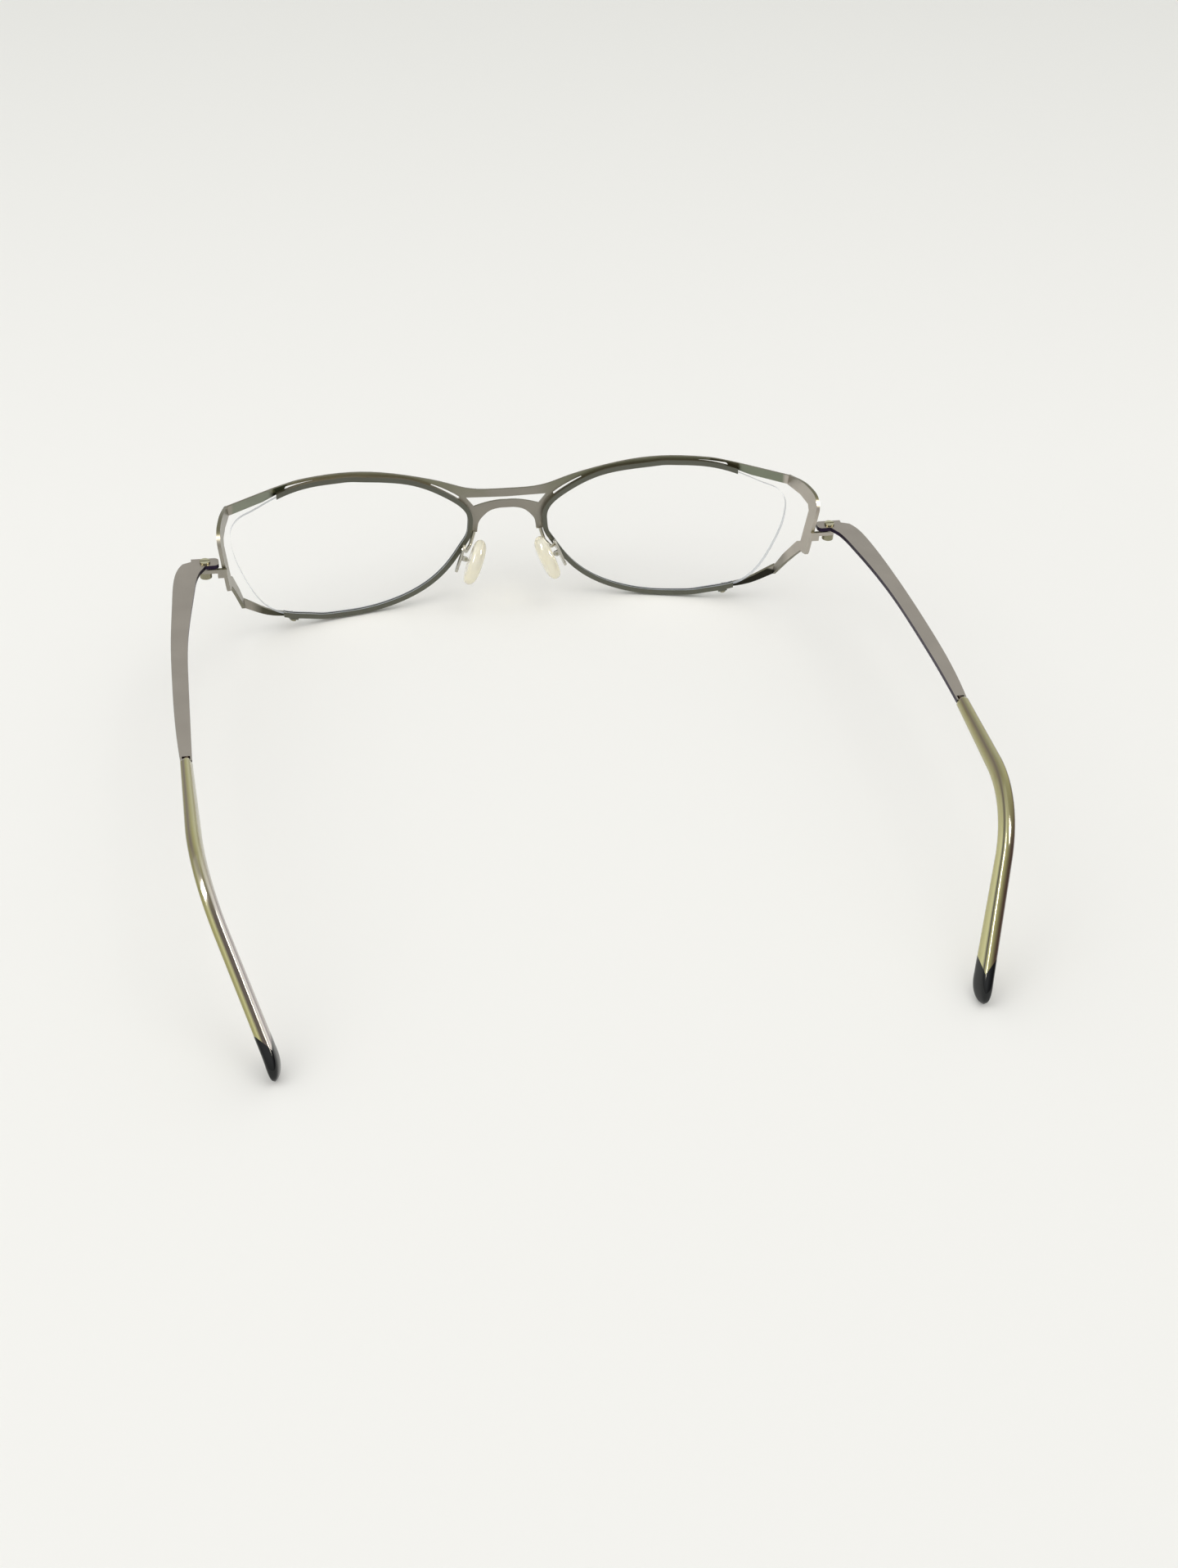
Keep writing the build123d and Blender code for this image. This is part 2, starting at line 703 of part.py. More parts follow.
head_under_z = eye_top_z + running_gap
with BuildPart() as hinge_screw:
    with BuildSketch(Plane.XY.offset(nut_top_z - nut_h)):
        with Locations(hinge_at):
            Circle(shank_r)
    extrude(amount=head_under_z - nut_top_z + nut_h)
    with BuildSketch(Plane.XY.offset(head_under_z)):
        with Locations(hinge_at):
            Circle(head_r)
    extrude(amount=head_h)
    with BuildSketch(Plane.XY.offset(head_under_z + head_h)):
        with Locations(hinge_at):
            Rectangle(2 * head_r, slot_w)
    extrude(amount=-slot_depth, mode=Mode.SUBTRACT)
pair(hinge_screw, "hinge_screw")


def temple_points(shares):
    """Plan points along the temple, out from and back behind the hinge."""
    return [
        (hinge_x + beside * temple_out, hinge_y - back * temple_reach)
        for beside, back in shares
    ]


# Temple outline in plan, and its rise behind the hinge
temple_outer_shares = [
    (0.729, 0.003), (0.853, 0.023), (1.054, 0.100), (1.132, 0.213),
    (1.243, 0.427), (1.273, 0.640), (1.250, 0.854), (1.163, 1.000),
]
temple_inner_shares = [
    (0.837, 1.000), (0.817, 0.854), (0.788, 0.640), (0.719, 0.427),
    (0.496, 0.228), (0.403, 0.151), (0.279, 0.077), (0.186, 0.051),
]
temple_front_shares = [(0.000, -0.0215), (0.276, -0.0135), (0.729, 0.003)]
rise_shares = [(0.213, 0.36), (0.427, 0.61), (0.640, 0.89), (0.854, 1.0), (1.0, 0.78)]


def rise_points(drop):
    """Side view points of the temple's top, or of a line under it."""
    start = (hinge_y - rise_start, eye_top_z - drop)
    rest = [
        (hinge_y - back * temple_reach, eye_top_z + rise * temple_rise - drop)
        for back, rise in rise_shares
    ]
    return [start] + rest


blade_end = Vector(
    hinge_x + temple_out,
    hinge_y - temple_reach,
    eye_top_z - plate_t / 2 + rise_shares[-1][1] * temple_rise,
)
with BuildPart() as temple_plate:
    with BuildSketch():
        with BuildLine():
            front_edge = Polyline(*temple_points(temple_front_shares))
            outer_edge = Spline(*temple_points(temple_outer_shares))
            Line(outer_edge @ 1, temple_points(temple_inner_shares)[0])
            inner_edge = Spline(*temple_points(temple_inner_shares))
            Polyline(inner_edge @ 1, (hinge_x, hinge_y - eye_half_w), front_edge @ 0)
        make_face()
        with Locations((hinge_x - eye_reach, hinge_y)):
            Rectangle(2 * eye_reach, 2 * eye_half_w, align=(Align.MIN, Align.CENTER))
    extrude(amount=overrun)
    with BuildSketch(Plane.YZ):
        with BuildLine():
            flat_top = Line((hinge_y + eye_reach, eye_top_z), (hinge_y - rise_start, eye_top_z))
            top = Spline(*rise_points(0), tangents=[(-1, 0), (-1, -0.05)])
            Line(top @ 1, rise_points(plate_t)[-1])
            under = Spline(*rise_points(plate_t), tangents=[(-1, 0), (-1, -0.05)])
            flat_under = Line(under @ 0, (hinge_y + eye_reach, eye_under_z))
            Line(flat_under @ 1, flat_top @ 0)
        make_face()
    extrude(amount=2 * overrun, mode=Mode.INTERSECT)
    with BuildSketch(Plane.XY.offset(eye_under_z)):
        with Locations(hinge_at):
            Circle(shank_r + running_gap)
    extrude(amount=plate_t, mode=Mode.SUBTRACT)
    with BuildSketch():
        with Locations((blade_end.X, blade_end.Y)):
            Rectangle(
                math.hypot(core_w, core_t) + 2 * fit_gap, prong_l, align=(Align.CENTER, Align.MIN)
            )
    extrude(amount=overrun, mode=Mode.SUBTRACT)
    sides = temple_plate.edges().filter_by(Axis.Z)
    fillet(sides.sort_by(Axis.X)[0:2], eye_half_w * 0.65)
pair(temple_plate, "temple_plate")

# Temple tip: a moulded bar on a wire core, bent down behind the ear
bend_at = Vector(hinge_x + bend_out, hinge_y - bend_reach, bend_z)
foot_at = Vector(hinge_x - foot_in, hinge_y - foot_reach, foot_z)
tip_along = (bend_at - blade_end).normalized()
foot_along = (foot_at - bend_at).normalized()
bend_side = tip_along.cross(foot_along).normalized()
tip_bend = tip_along.get_angle(foot_along)
bend_run = bend_r * math.tan(math.radians(tip_bend / 2))
bend_from = bend_at - tip_along * bend_run
bend_to = bend_at + foot_along * bend_run
tip_axis = Axis(bend_from + bend_side.cross(tip_along) * bend_r, bend_side)
tip_from = blade_end + tip_along * tip_gap
core_from = blade_end - tip_along * (prong_l - fit_gap)
core_to = foot_at - foot_along * core_stop

# Planes across the path, seen along it, at its start and at both ends of the bend
core_plane = Plane(origin=core_from, x_dir=bend_side, z_dir=tip_along)
start_plane = Plane(origin=tip_from, x_dir=bend_side, z_dir=tip_along)
bend_in_plane = Plane(origin=bend_from, x_dir=bend_side, z_dir=tip_along)
bend_out_plane = Plane(origin=bend_to, x_dir=bend_side, z_dir=foot_along)
foot_plane = Plane(origin=foot_at, x_dir=bend_side, z_dir=foot_along)

# The flat wire core and the bore round it: straight, bent and straight again
rods = []
for play in (0, fit_gap):
    with BuildPart() as rod:
        with BuildSketch(core_plane):
            Rectangle(core_w + 2 * play, core_t + 2 * play)
        extrude(amount=(bend_from - core_from).length)
        with BuildSketch(bend_in_plane):
            Rectangle(core_w + 2 * play, core_t + 2 * play)
        revolve(axis=tip_axis, revolution_arc=tip_bend)
        with BuildSketch(bend_out_plane):
            Rectangle(core_w + 2 * play, core_t + 2 * play)
        extrude(amount=(core_to - bend_to).length + play)
    rods.append(rod)
temple_core, core_bore = rods
pair(temple_core, "temple_core")

# The bar grows as far as the bend and again beyond it, and closes in a round end
with BuildPart() as tip_bar:
    for section, width, height in (
        (start_plane, tip_w_start, tip_h_start), (bend_in_plane, tip_w, tip_h_bend),
    ):
        with BuildSketch(section) as bar_end:
            Rectangle(width, height)
            chamfer(bar_end.vertices(), tip_corner_share * width)
    loft(ruled=True)
    with BuildSketch(bend_in_plane) as bar_end:
        Rectangle(tip_w, tip_h_bend)
        chamfer(bar_end.vertices(), tip_corner_share * tip_w)
    revolve(axis=tip_axis, revolution_arc=tip_bend)
    with BuildSketch(bend_out_plane) as bar_end:
        Rectangle(tip_w, tip_h_bend)
        chamfer(bar_end.vertices(), tip_corner_share * tip_w)
    for share, size in tip_end_shares:
        with BuildSketch(foot_plane.offset((share - 1) * end_round_l)) as bar_end:
            with Locations(((1 - size) * tip_w / 2, 0)):
                Rectangle(tip_w * size, tip_h_end * size)
            chamfer(bar_end.vertices(), tip_corner_share * tip_w * size)
    loft(ruled=True)

# The black end cap and the bar meet in a V across the width
v_plane = Plane(origin=foot_at, x_dir=bend_side, z_dir=foot_along.cross(bend_side))
v_points = [
    (0, cap_l - notch_l), (tip_w, cap_l + notch_l), (2 * tip_w, 2 * cap_l),
    (2 * tip_w, -cap_l), (-2 * tip_w, -cap_l), (-2 * tip_w, 2 * cap_l),
    (-tip_w, cap_l + notch_l),
]
with BuildPart() as v_block:
    with BuildSketch(v_plane):
        with BuildLine():
            Polyline(*v_points, close=True)
        make_face()
    extrude(amount=2 * tip_h_end, both=True)

with BuildPart() as tip_end_cap:
    add(tip_bar.part)
    add(v_block.part, mode=Mode.INTERSECT)
pair(tip_end_cap, "tip_end_cap")

with BuildPart() as temple_tip:
    add(tip_bar.part)
    add(v_block.part, mode=Mode.SUBTRACT)
    add(core_bore.part, mode=Mode.SUBTRACT)
pair(temple_tip, "temple_tip")
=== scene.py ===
# %% [markdown]
# # A folded metal spectacle frame, dressed for a studio picture
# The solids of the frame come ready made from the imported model. This notebook
# gives them the finishes of the real thing: plated steel, moulded acetate,
# clear vinyl and clear lens sheet. It starts by loading the model, which also
# tells where every part is, so nothing has to be measured again.

import json
import math

import bmesh
import bpy
from mathutils import Matrix, Vector


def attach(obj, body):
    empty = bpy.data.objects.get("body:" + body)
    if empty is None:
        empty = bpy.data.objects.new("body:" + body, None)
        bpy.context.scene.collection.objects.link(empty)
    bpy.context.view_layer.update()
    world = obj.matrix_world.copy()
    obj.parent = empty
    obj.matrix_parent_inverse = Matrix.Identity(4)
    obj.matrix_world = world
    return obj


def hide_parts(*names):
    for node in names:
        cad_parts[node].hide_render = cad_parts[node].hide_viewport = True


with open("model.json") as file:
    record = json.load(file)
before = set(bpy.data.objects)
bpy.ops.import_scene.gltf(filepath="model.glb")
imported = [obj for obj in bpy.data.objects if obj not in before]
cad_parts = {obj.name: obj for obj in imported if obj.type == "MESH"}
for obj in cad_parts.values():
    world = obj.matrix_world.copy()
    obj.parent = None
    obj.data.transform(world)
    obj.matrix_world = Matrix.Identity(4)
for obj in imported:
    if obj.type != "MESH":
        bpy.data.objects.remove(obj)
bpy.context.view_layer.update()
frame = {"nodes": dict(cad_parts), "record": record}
record = frame["record"]

# %% [markdown]
# Everything that has a place in the scene is given from two landmarks: the
# upright line of the right hinge screw and the surface that the frame stands
# on. The hinge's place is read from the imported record.

# %% Landmarks
MM = 0.001
joints = {joint["name"]: joint for joint in record["behaviour"]["joints"]}
hinge = Vector(joints["temple_right_hinge"]["pos_m"])
hinge_row = Vector((0, hinge.y, 0))
print("hinge in mm", [round(c / MM, 2) for c in hinge])

# %% [markdown]
# ## The camera
# The picture was taken by a hand-held camera behind the wearer's left
# shoulder, looking down at the frame. Three angles turn it: round the frame,
# up from the table, and a small roll, because the camera wasn't held level.
# The focal length is given for a 36 mm high sensor.

# %% Camera
ROUND_ANGLE = math.radians(-13.49)
UP_ANGLE = math.radians(38.40)
ROLL_ANGLE = math.radians(3.656)
CAMERA_FROM_HINGE_ROW = Vector((-69.793, -364.466, 255.11)) * MM
IMAGE_SIZE = (1440, 1916)
FOCAL_PIXELS = 2400
SENSOR_MM = 36

back = Vector(
    (
        math.sin(ROUND_ANGLE) * math.cos(UP_ANGLE),
        -math.cos(ROUND_ANGLE) * math.cos(UP_ANGLE),
        math.sin(UP_ANGLE),
    )
)
level = (-back).cross(Vector((0, 0, 1))).normalized()
upright = level.cross(-back)
right = level * math.cos(ROLL_ANGLE) + upright * math.sin(ROLL_ANGLE)
top = upright * math.cos(ROLL_ANGLE) - level * math.sin(ROLL_ANGLE)
camera_data = bpy.data.cameras.new("photo_camera")
camera_data.sensor_fit = "VERTICAL"
camera_data.sensor_height = SENSOR_MM
camera_data.lens = SENSOR_MM * FOCAL_PIXELS / IMAGE_SIZE[1]
camera_data.clip_start = 0.01
camera_data.clip_end = 20
camera = bpy.data.objects.new("photo_camera", camera_data)
turn = Matrix((right, top, back)).transposed().to_4x4()
camera.matrix_world = Matrix.Translation(hinge_row + CAMERA_FROM_HINGE_ROW) @ turn
bpy.context.scene.collection.objects.link(camera)
bpy.context.scene.camera = camera
print("focal length in mm", round(camera_data.lens, 1))

# %% [markdown]
# ## Small helpers
# Colours are written as they are picked on a screen, in sRGB hex, and one
# function turns them to the linear values that the renderer works in. One
# more function adds a shader node with its settings and its links.

# %% Helpers for colours and nodes


def colour(hex_code):
    """An sRGB hex colour as a linear RGBA value."""
    parts = [int(hex_code[i : i + 2], 16) / 255 for i in (1, 3, 5)]
    linear = [c / 12.92 if c <= 0.04045 else ((c + 0.055) / 1.055) ** 2.4 for c in parts]
    return (*linear, 1.0)


def add_node(tree, kind, settings=(), links=()):
    """A node with its properties or socket values set and its inputs linked."""
    made = tree.nodes.new(kind)
    for name, value in dict(settings).items():
        if isinstance(name, int) or name in made.inputs:
            made.inputs[name].default_value = value
        else:
            setattr(made, name, value)
    for name, source in dict(links).items():
        tree.links.new(source, made.inputs[name])
    return made


# %% [markdown]
# A material starts empty and ends with one link to its output. The packed
# nodes keep their meshes: only the material in their slot changes.

# %% Helpers for materials


def new_material(name):
    """An empty node material and its tree, ready for nodes."""
    material = bpy.data.materials.new(name)
    material.use_nodes = True
    tree = material.node_tree
    tree.nodes.clear()
    return material, tree


def finish_material(tree, surface):
    """Link a shader's first output to the material's surface."""
    add_node(tree, "ShaderNodeOutputMaterial", links={"Surface": surface.outputs[0]})


def dress(material, *names):
    """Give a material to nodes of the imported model."""
    for name in names:
        node = frame["nodes"][name]
        node.data.materials.clear()
        node.data.materials.append(material)
    print(material.name, "on", len(names), "nodes")


def both(name):
    """A part's name for the right and for the left side."""
    return (f"{name}_right", f"{name}_left")


# %% [markdown]
# Whatever follows a path is drawn with Geometry Nodes. One function sets up a
# node group with its named inputs, and another runs it on a path and keeps
# the result as a plain mesh, so nothing live is left in the scene.

# %% Helpers for Geometry Nodes


def new_group(name, sockets):
    """A geometry node group with the given inputs, and its input node."""
    tree = bpy.data.node_groups.new(name, "GeometryNodeTree")
    for label, kind in [("Path", "NodeSocketGeometry"), *sockets]:
        tree.interface.new_socket(label, in_out="INPUT", socket_type=kind)
    tree.interface.new_socket("Mesh", in_out="OUTPUT", socket_type="NodeSocketGeometry")
    return tree, tree.nodes.new("NodeGroupInput")


def finish_group(tree, start, mesh):
    """Realize what was made, give it the material input and link the output."""
    real = add_node(tree, "GeometryNodeRealizeInstances", links={0: mesh})
    coated = add_node(
        tree,
        "GeometryNodeSetMaterial",
        links={"Geometry": real.outputs[0], "Material": start.outputs["Material"]},
    )
    add_node(tree, "NodeGroupOutput", links={"Mesh": coated.outputs[0]})


def path_object(name, points, radii):
    """A straight-sided curve through points, with a radius at each."""
    data = bpy.data.curves.new(name, "CURVE")
    data.dimensions = "3D"
    line = data.splines.new("POLY")
    line.points.add(len(points) - 1)
    for stop, point, radius in zip(line.points, points, radii):
        stop.co = (*point, 1)
        stop.radius = radius
    holder = bpy.data.objects.new(name, data)
    bpy.context.scene.collection.objects.link(holder)
    return holder


def run_group(tree, source, values, name):
    """Run a node group on an object and keep the result as a plain mesh."""
    modifier = source.modifiers.new(name, "NODES")
    modifier.node_group = tree
    for item in tree.interface.items_tree:
        if item.name in values:
            modifier[item.identifier] = values[item.name]
    graph = bpy.context.evaluated_depsgraph_get()
    mesh = bpy.data.meshes.new_from_object(source.evaluated_get(graph), depsgraph=graph)
    source.modifiers.remove(modifier)
    bpy.data.objects.remove(source)
    mesh.materials.clear()
    mesh.materials.append(values["Material"])
    mesh.name = name
    piece = bpy.data.objects.new(name, mesh)
    bpy.context.scene.collection.objects.link(piece)
    print(name, "faces", len(mesh.polygons))
    return piece


# %% [markdown]
# ## Floor, backdrop and light
# The picture was taken on a seamless white paper sweep. Its floor is made as
# a big flat sheet whose far edge lies well outside the view, and its colour
# falls off a little towards the back, as such a sheet does where it leaves
# the lamps.

# %% Floor
FLOOR_HALF = 3.0
FAR_START = 0.12
FAR_END = 0.75
NEAR_PAPER = "#f6f5f1"
FAR_PAPER = "#e5e5e0"

floor_mesh = bpy.data.meshes.new("paper_sweep")
corners = [(-1, -1), (1, -1), (1, 1), (-1, 1)]
floor_mesh.from_pydata(
    [(x * FLOOR_HALF, y * FLOOR_HALF, 0) for x, y in corners], [], [(0, 1, 2, 3)]
)
floor = bpy.data.objects.new("paper_sweep", floor_mesh)
bpy.context.scene.collection.objects.link(floor)
paper, tree = new_material("matt_white_paper")
place = add_node(tree, "ShaderNodeTexCoord")
parts = add_node(tree, "ShaderNodeSeparateXYZ", links={0: place.outputs["Object"]})
far = add_node(
    tree,
    "ShaderNodeMapRange",
    {"From Min": FAR_START, "From Max": FAR_END},
    {"Value": parts.outputs["Y"]},
)
sheet_tone = add_node(
    tree,
    "ShaderNodeMix",
    {"data_type": "RGBA", 6: colour(NEAR_PAPER), 7: colour(FAR_PAPER)},
    {0: far.outputs[0]},
)
paper_shader = add_node(
    tree,
    "ShaderNodeBsdfPrincipled",
    {"Roughness": 0.9, "Specular IOR Level": 0.2},
    {"Base Color": sheet_tone.outputs[2]},
)
finish_material(tree, paper_shader)
floor_mesh.materials.append(paper)
print("floor width in m", 2 * FLOOR_HALF)

# %% [markdown]
# The room is white overhead and greyer near the horizon, and its right-hand
# side is dim. Polished parts need that: a metal or a clear plastic shows
# nothing but the room, and the dim side gives it its dark edges.

# %% Room
DIM_SIDE = Vector((0.93, -0.30, -0.2)).normalized()
DIM_FROM = 0.35
DIM_TO = 0.95
WALL_TOP = 0.55
WALL_FOOT = -0.05
WALL_TONE = "#c9c7c3"
CEILING_TONE = "#fbfcfc"
DIM_TONE = "#6d6469"
ROOM_STRENGTH = 0.95

world = bpy.data.worlds.new("pale_room")
bpy.context.scene.world = world
world.use_nodes = True
tree = world.node_tree
tree.nodes.clear()
heading = add_node(tree, "ShaderNodeTexCoord")
heading_parts = add_node(
    tree, "ShaderNodeSeparateXYZ", links={0: heading.outputs["Generated"]}
)
height = add_node(
    tree,
    "ShaderNodeMapRange",
    {"From Min": WALL_FOOT, "From Max": WALL_TOP},
    {"Value": heading_parts.outputs["Z"]},
)
walls = add_node(
    tree,
    "ShaderNodeMix",
    {"data_type": "RGBA", 6: colour(WALL_TONE), 7: colour(CEILING_TONE)},
    {0: height.outputs[0]},
)
sideways = add_node(
    tree,
    "ShaderNodeVectorMath",
    {"operation": "DOT_PRODUCT", 1: DIM_SIDE},
    {0: heading.outputs["Generated"]},
)
dim = add_node(
    tree,
    "ShaderNodeMapRange",
    {"From Min": DIM_FROM, "From Max": DIM_TO},
    {"Value": sideways.outputs["Value"]},
)
room = add_node(
    tree,
    "ShaderNodeMix",
    {"data_type": "RGBA", 7: colour(DIM_TONE)},
    {0: dim.outputs[0], 6: walls.outputs[2]},
)
sky = add_node(
    tree, "ShaderNodeBackground", {"Strength": ROOM_STRENGTH}, {"Color": room.outputs[2]}
)
add_node(tree, "ShaderNodeOutputWorld", links={"Surface": sky.outputs[0]})
print("room nodes", len(tree.nodes))

# %% [markdown]
# Two broad lamps hang in the room and draw the faint shadows. Two smaller
# strips hang behind the frame and to either side, one for each temple tip:
# they put the bright spot on its bend. Only a shiny surface shows them. Their
# light is switched off for matt ones, so the paper stays as it is.

# %% Lamps
TABLE_MIDDLE = Vector((0, 0, 0))
TIP_BENDS = Vector((0, -0.1, 0))
# Lamps: a name, place and size in metres, watts and a tint
BROAD_LAMPS = [
    ("ceiling_panel", (0.22, 0.0, 1.1), (0.6, 0.6), 1.0, "#fffdf8"),
    ("window_left", (-0.75, -0.1, 0.95), (0.8, 0.8), 1.5, "#ffffff"),
]
TIP_STRIPS = [
    ("strip_right", (0.70, -0.35, 0.76), (0.22, 0.34), 11.0, "#fff8e6"),
    ("strip_left", (-0.65, -0.25, 0.79), (0.22, 0.34), 11.0, "#fff8e6"),
]


def soft_lamp(name, place, aim, size, watts, tint):
    """A lamp, wide and long as given, at a place and turned to face a point."""
    lamp = bpy.data.lights.new(name, "AREA")
    lamp.shape = "RECTANGLE"
    lamp.size, lamp.size_y = size
    lamp.energy = watts
    lamp.color = colour(tint)[:3]
    holder = bpy.data.objects.new(name, lamp)
    facing = (aim - Vector(place)).to_track_quat("-Z", "Y")
    holder.matrix_world = Matrix.Translation(place) @ facing.to_matrix().to_4x4()
    bpy.context.scene.collection.objects.link(holder)
    print(name, "watts", watts)
    return holder


for name, place, size, watts, tint in BROAD_LAMPS:
    soft_lamp(name, place, TABLE_MIDDLE, size, watts, tint)
for name, place, size, watts, tint in TIP_STRIPS:
    strip = soft_lamp(name, place, TIP_BENDS, size, watts, tint)
    strip.visible_diffuse = False
bpy.context.scene.view_settings.view_transform = "Standard"

# %% [markdown]
# ## Plated steel
# The front and the temples are cut from stainless sheet, then brushed,
# tumbled and plated in a warm grey. The faces look satin: their brushing is
# much finer than the picture can show, so the streaks here are drawn about
# 0.4 mm wide and 4 mm long, and very faint. Broad clouds of a slightly
# lighter or darker shade stand for the tumbling, which is never quite even.

# %% Brushing and tumbling
STREAKS_PER_MM_ACROSS = 2.5
STREAKS_PER_MM_ALONG = 0.26
CLOUDS_PER_MM = 0.18
SHADE_RANGE = (0.90, 1.08)


def brushing(tree, place):
    """Fine streaks along the temples' length, as a value."""
    across = STREAKS_PER_MM_ACROSS / MM
    along = STREAKS_PER_MM_ALONG / MM
    streak_space = add_node(
        tree,
        "ShaderNodeMapping",
        {"Scale": (across, along, across)},
        {"Vector": place.outputs["Object"]},
    )
    streaks = add_node(
        tree,
        "ShaderNodeTexNoise",
        {"Scale": 1.0, "Detail": 3.0, "Roughness": 0.6},
        {"Vector": streak_space.outputs[0]},
    )
    return streaks.outputs["Fac"]


def tumbling(tree, place, tint):
    """A colour with broad, faint clouds of shade."""
    clouds = add_node(
        tree,
        "ShaderNodeTexNoise",
        {"Scale": CLOUDS_PER_MM / MM, "Detail": 2.0},
        {"Vector": place.outputs["Object"]},
    )
    shade = add_node(
        tree,
        "ShaderNodeMapRange",
        {"To Min": SHADE_RANGE[0], "To Max": SHADE_RANGE[1]},
        {"Value": clouds.outputs["Fac"]},
    )
    toned = add_node(
        tree,
        "ShaderNodeVectorMath",
        {"operation": "SCALE"},
        {0: tint, "Scale": shade.outputs[0]},
    )
    return toned.outputs[0]


# %% [markdown]
# The cut edges are given a darker tone than the faces, which is painted shade.
# A mask made from the surface's own direction tells the two apart, by how much
# the surface faces along one direction. Zones of other tones go on the front:
# painted shade on the wings and by the ends of the brow, which are also
# greener there, painted light on the hinge tabs, and a darker, greener tone
# along the middle of the brow. Such zones are boxes with soft borders,
# measured across and up the front.

# %% Cut edges and zones, painted shade and light
EDGE_ALONG = (0.62, 0.74)
EDGE_ASIDE = (0.55, 0.43)


def cut_edge(tree, place, direction, limits):
    """Where the surface faces along a direction, between two limits."""
    aim = add_node(
        tree,
        "ShaderNodeVectorMath",
        {"operation": "DOT_PRODUCT", 1: direction},
        {0: place.outputs["Normal"]},
    )
    size = add_node(
        tree, "ShaderNodeMath", {"operation": "ABSOLUTE"}, {0: aim.outputs["Value"]}
    )
    edge = add_node(
        tree,
        "ShaderNodeMapRange",
        {"From Min": limits[0], "From Max": limits[1]},
        {"Value": size.outputs[0]},
    )
    return edge.outputs[0]


def plating_with_painted_zones(tree, place, face_tint, zones):
    """A face colour with soft zones of other tones, here painted light and shade."""
    plain = add_node(tree, "ShaderNodeRGB")
    plain.outputs[0].default_value = colour(face_tint)
    tone = plain.outputs[0]
    for middle, half, soft, zone_tint in zones:
        away = add_node(
            tree,
            "ShaderNodeVectorMath",
            {"operation": "SUBTRACT", 1: Vector(middle) * MM},
            {0: place.outputs["Object"]},
        )
        reach = add_node(
            tree, "ShaderNodeVectorMath", {"operation": "ABSOLUTE"}, {0: away.outputs[0]}
        )
        past = add_node(
            tree,
            "ShaderNodeVectorMath",
            {"operation": "SUBTRACT", 1: Vector(half) * MM},
            {0: reach.outputs[0]},
        )
        spans = add_node(tree, "ShaderNodeSeparateXYZ", links={0: past.outputs[0]})
        most = add_node(
            tree,
            "ShaderNodeMath",
            {"operation": "MAXIMUM"},
            {0: spans.outputs["X"], 1: spans.outputs["Z"]},
        )
        inside = add_node(
            tree,
            "ShaderNodeMapRange",
            {"From Min": soft * MM, "From Max": 0.0},
            {"Value": most.outputs[0]},
        )
        mixed = add_node(
            tree,
            "ShaderNodeMix",
            {"data_type": "RGBA", 7: colour(zone_tint)},
            {0: inside.outputs[0], 6: tone},
        )
        tone = mixed.outputs[2]
    return tone


# %% [markdown]
# The steel itself is a plain metal shader. The streaks vary how sharp its
# reflections are and make the surface very slightly uneven.

# %% Satin steel
STREAK_HEIGHT = 0.04 * MM
ROUGHNESS_SPREAD = (-0.06, 0.08)
SATIN_ROUGHNESS = 0.34
BRIGHT_ROUGHNESS = 0.22
TURNED_ROUGHNESS = 0.25
DRAWN_ROUGHNESS = 0.35


def satin_steel(name, face_tint_and_edge_shade, direction, limits, rough=SATIN_ROUGHNESS, zones=()):
    """Brushed steel: a face tint with zones, and an edge tint that paints shade on the cut
    edges.
    """
    material, tree = new_material(name)
    place = add_node(tree, "ShaderNodeTexCoord")
    streaks = brushing(tree, place)
    # The edge tone, mixed in by the mask, is painted shade; the zones paint light and shade on
    # the faces
    tint = add_node(
        tree,
        "ShaderNodeMix",
        {"data_type": "RGBA", 7: colour(face_tint_and_edge_shade[1])},
        {0: cut_edge(tree, place, direction, limits), 6: plating_with_painted_zones(tree, place, face_tint_and_edge_shade[0], zones)},
    )
    gloss = add_node(
        tree,
        "ShaderNodeMapRange",
        {"To Min": rough + ROUGHNESS_SPREAD[0], "To Max": rough + ROUGHNESS_SPREAD[1]},
        {"Value": streaks},
    )
    bump = add_node(
        tree,
        "ShaderNodeBump",
        {"Strength": 0.12, "Distance": STREAK_HEIGHT},
        {"Height": streaks},
    )
    steel = add_node(
        tree,
        "ShaderNodeBsdfPrincipled",
        {"Metallic": 1.0},
        {
            "Base Color": tumbling(tree, place, tint.outputs[2]),
            "Roughness": gloss.outputs[0],
            "Normal": bump.outputs[0],
        },
    )
    finish_material(tree, steel)
    return material


# %% [markdown]
# The front leans back by 12 degrees, so its up and out directions lean too.
# The eyewires are darker than the front, and painted shade darkens them further
# along the brow, under the brow bar. The pad arms and screws are left bright, as
# drawn wire and turned steel are.

# %% Steel tones and where they go
FRONT_LEAN = math.radians(12)
FRONT_UP = (0, math.sin(FRONT_LEAN), math.cos(FRONT_LEAN))
FRONT_OUT = (0, math.cos(FRONT_LEAN), -math.sin(FRONT_LEAN))
UPRIGHT = (0, 0, 1)
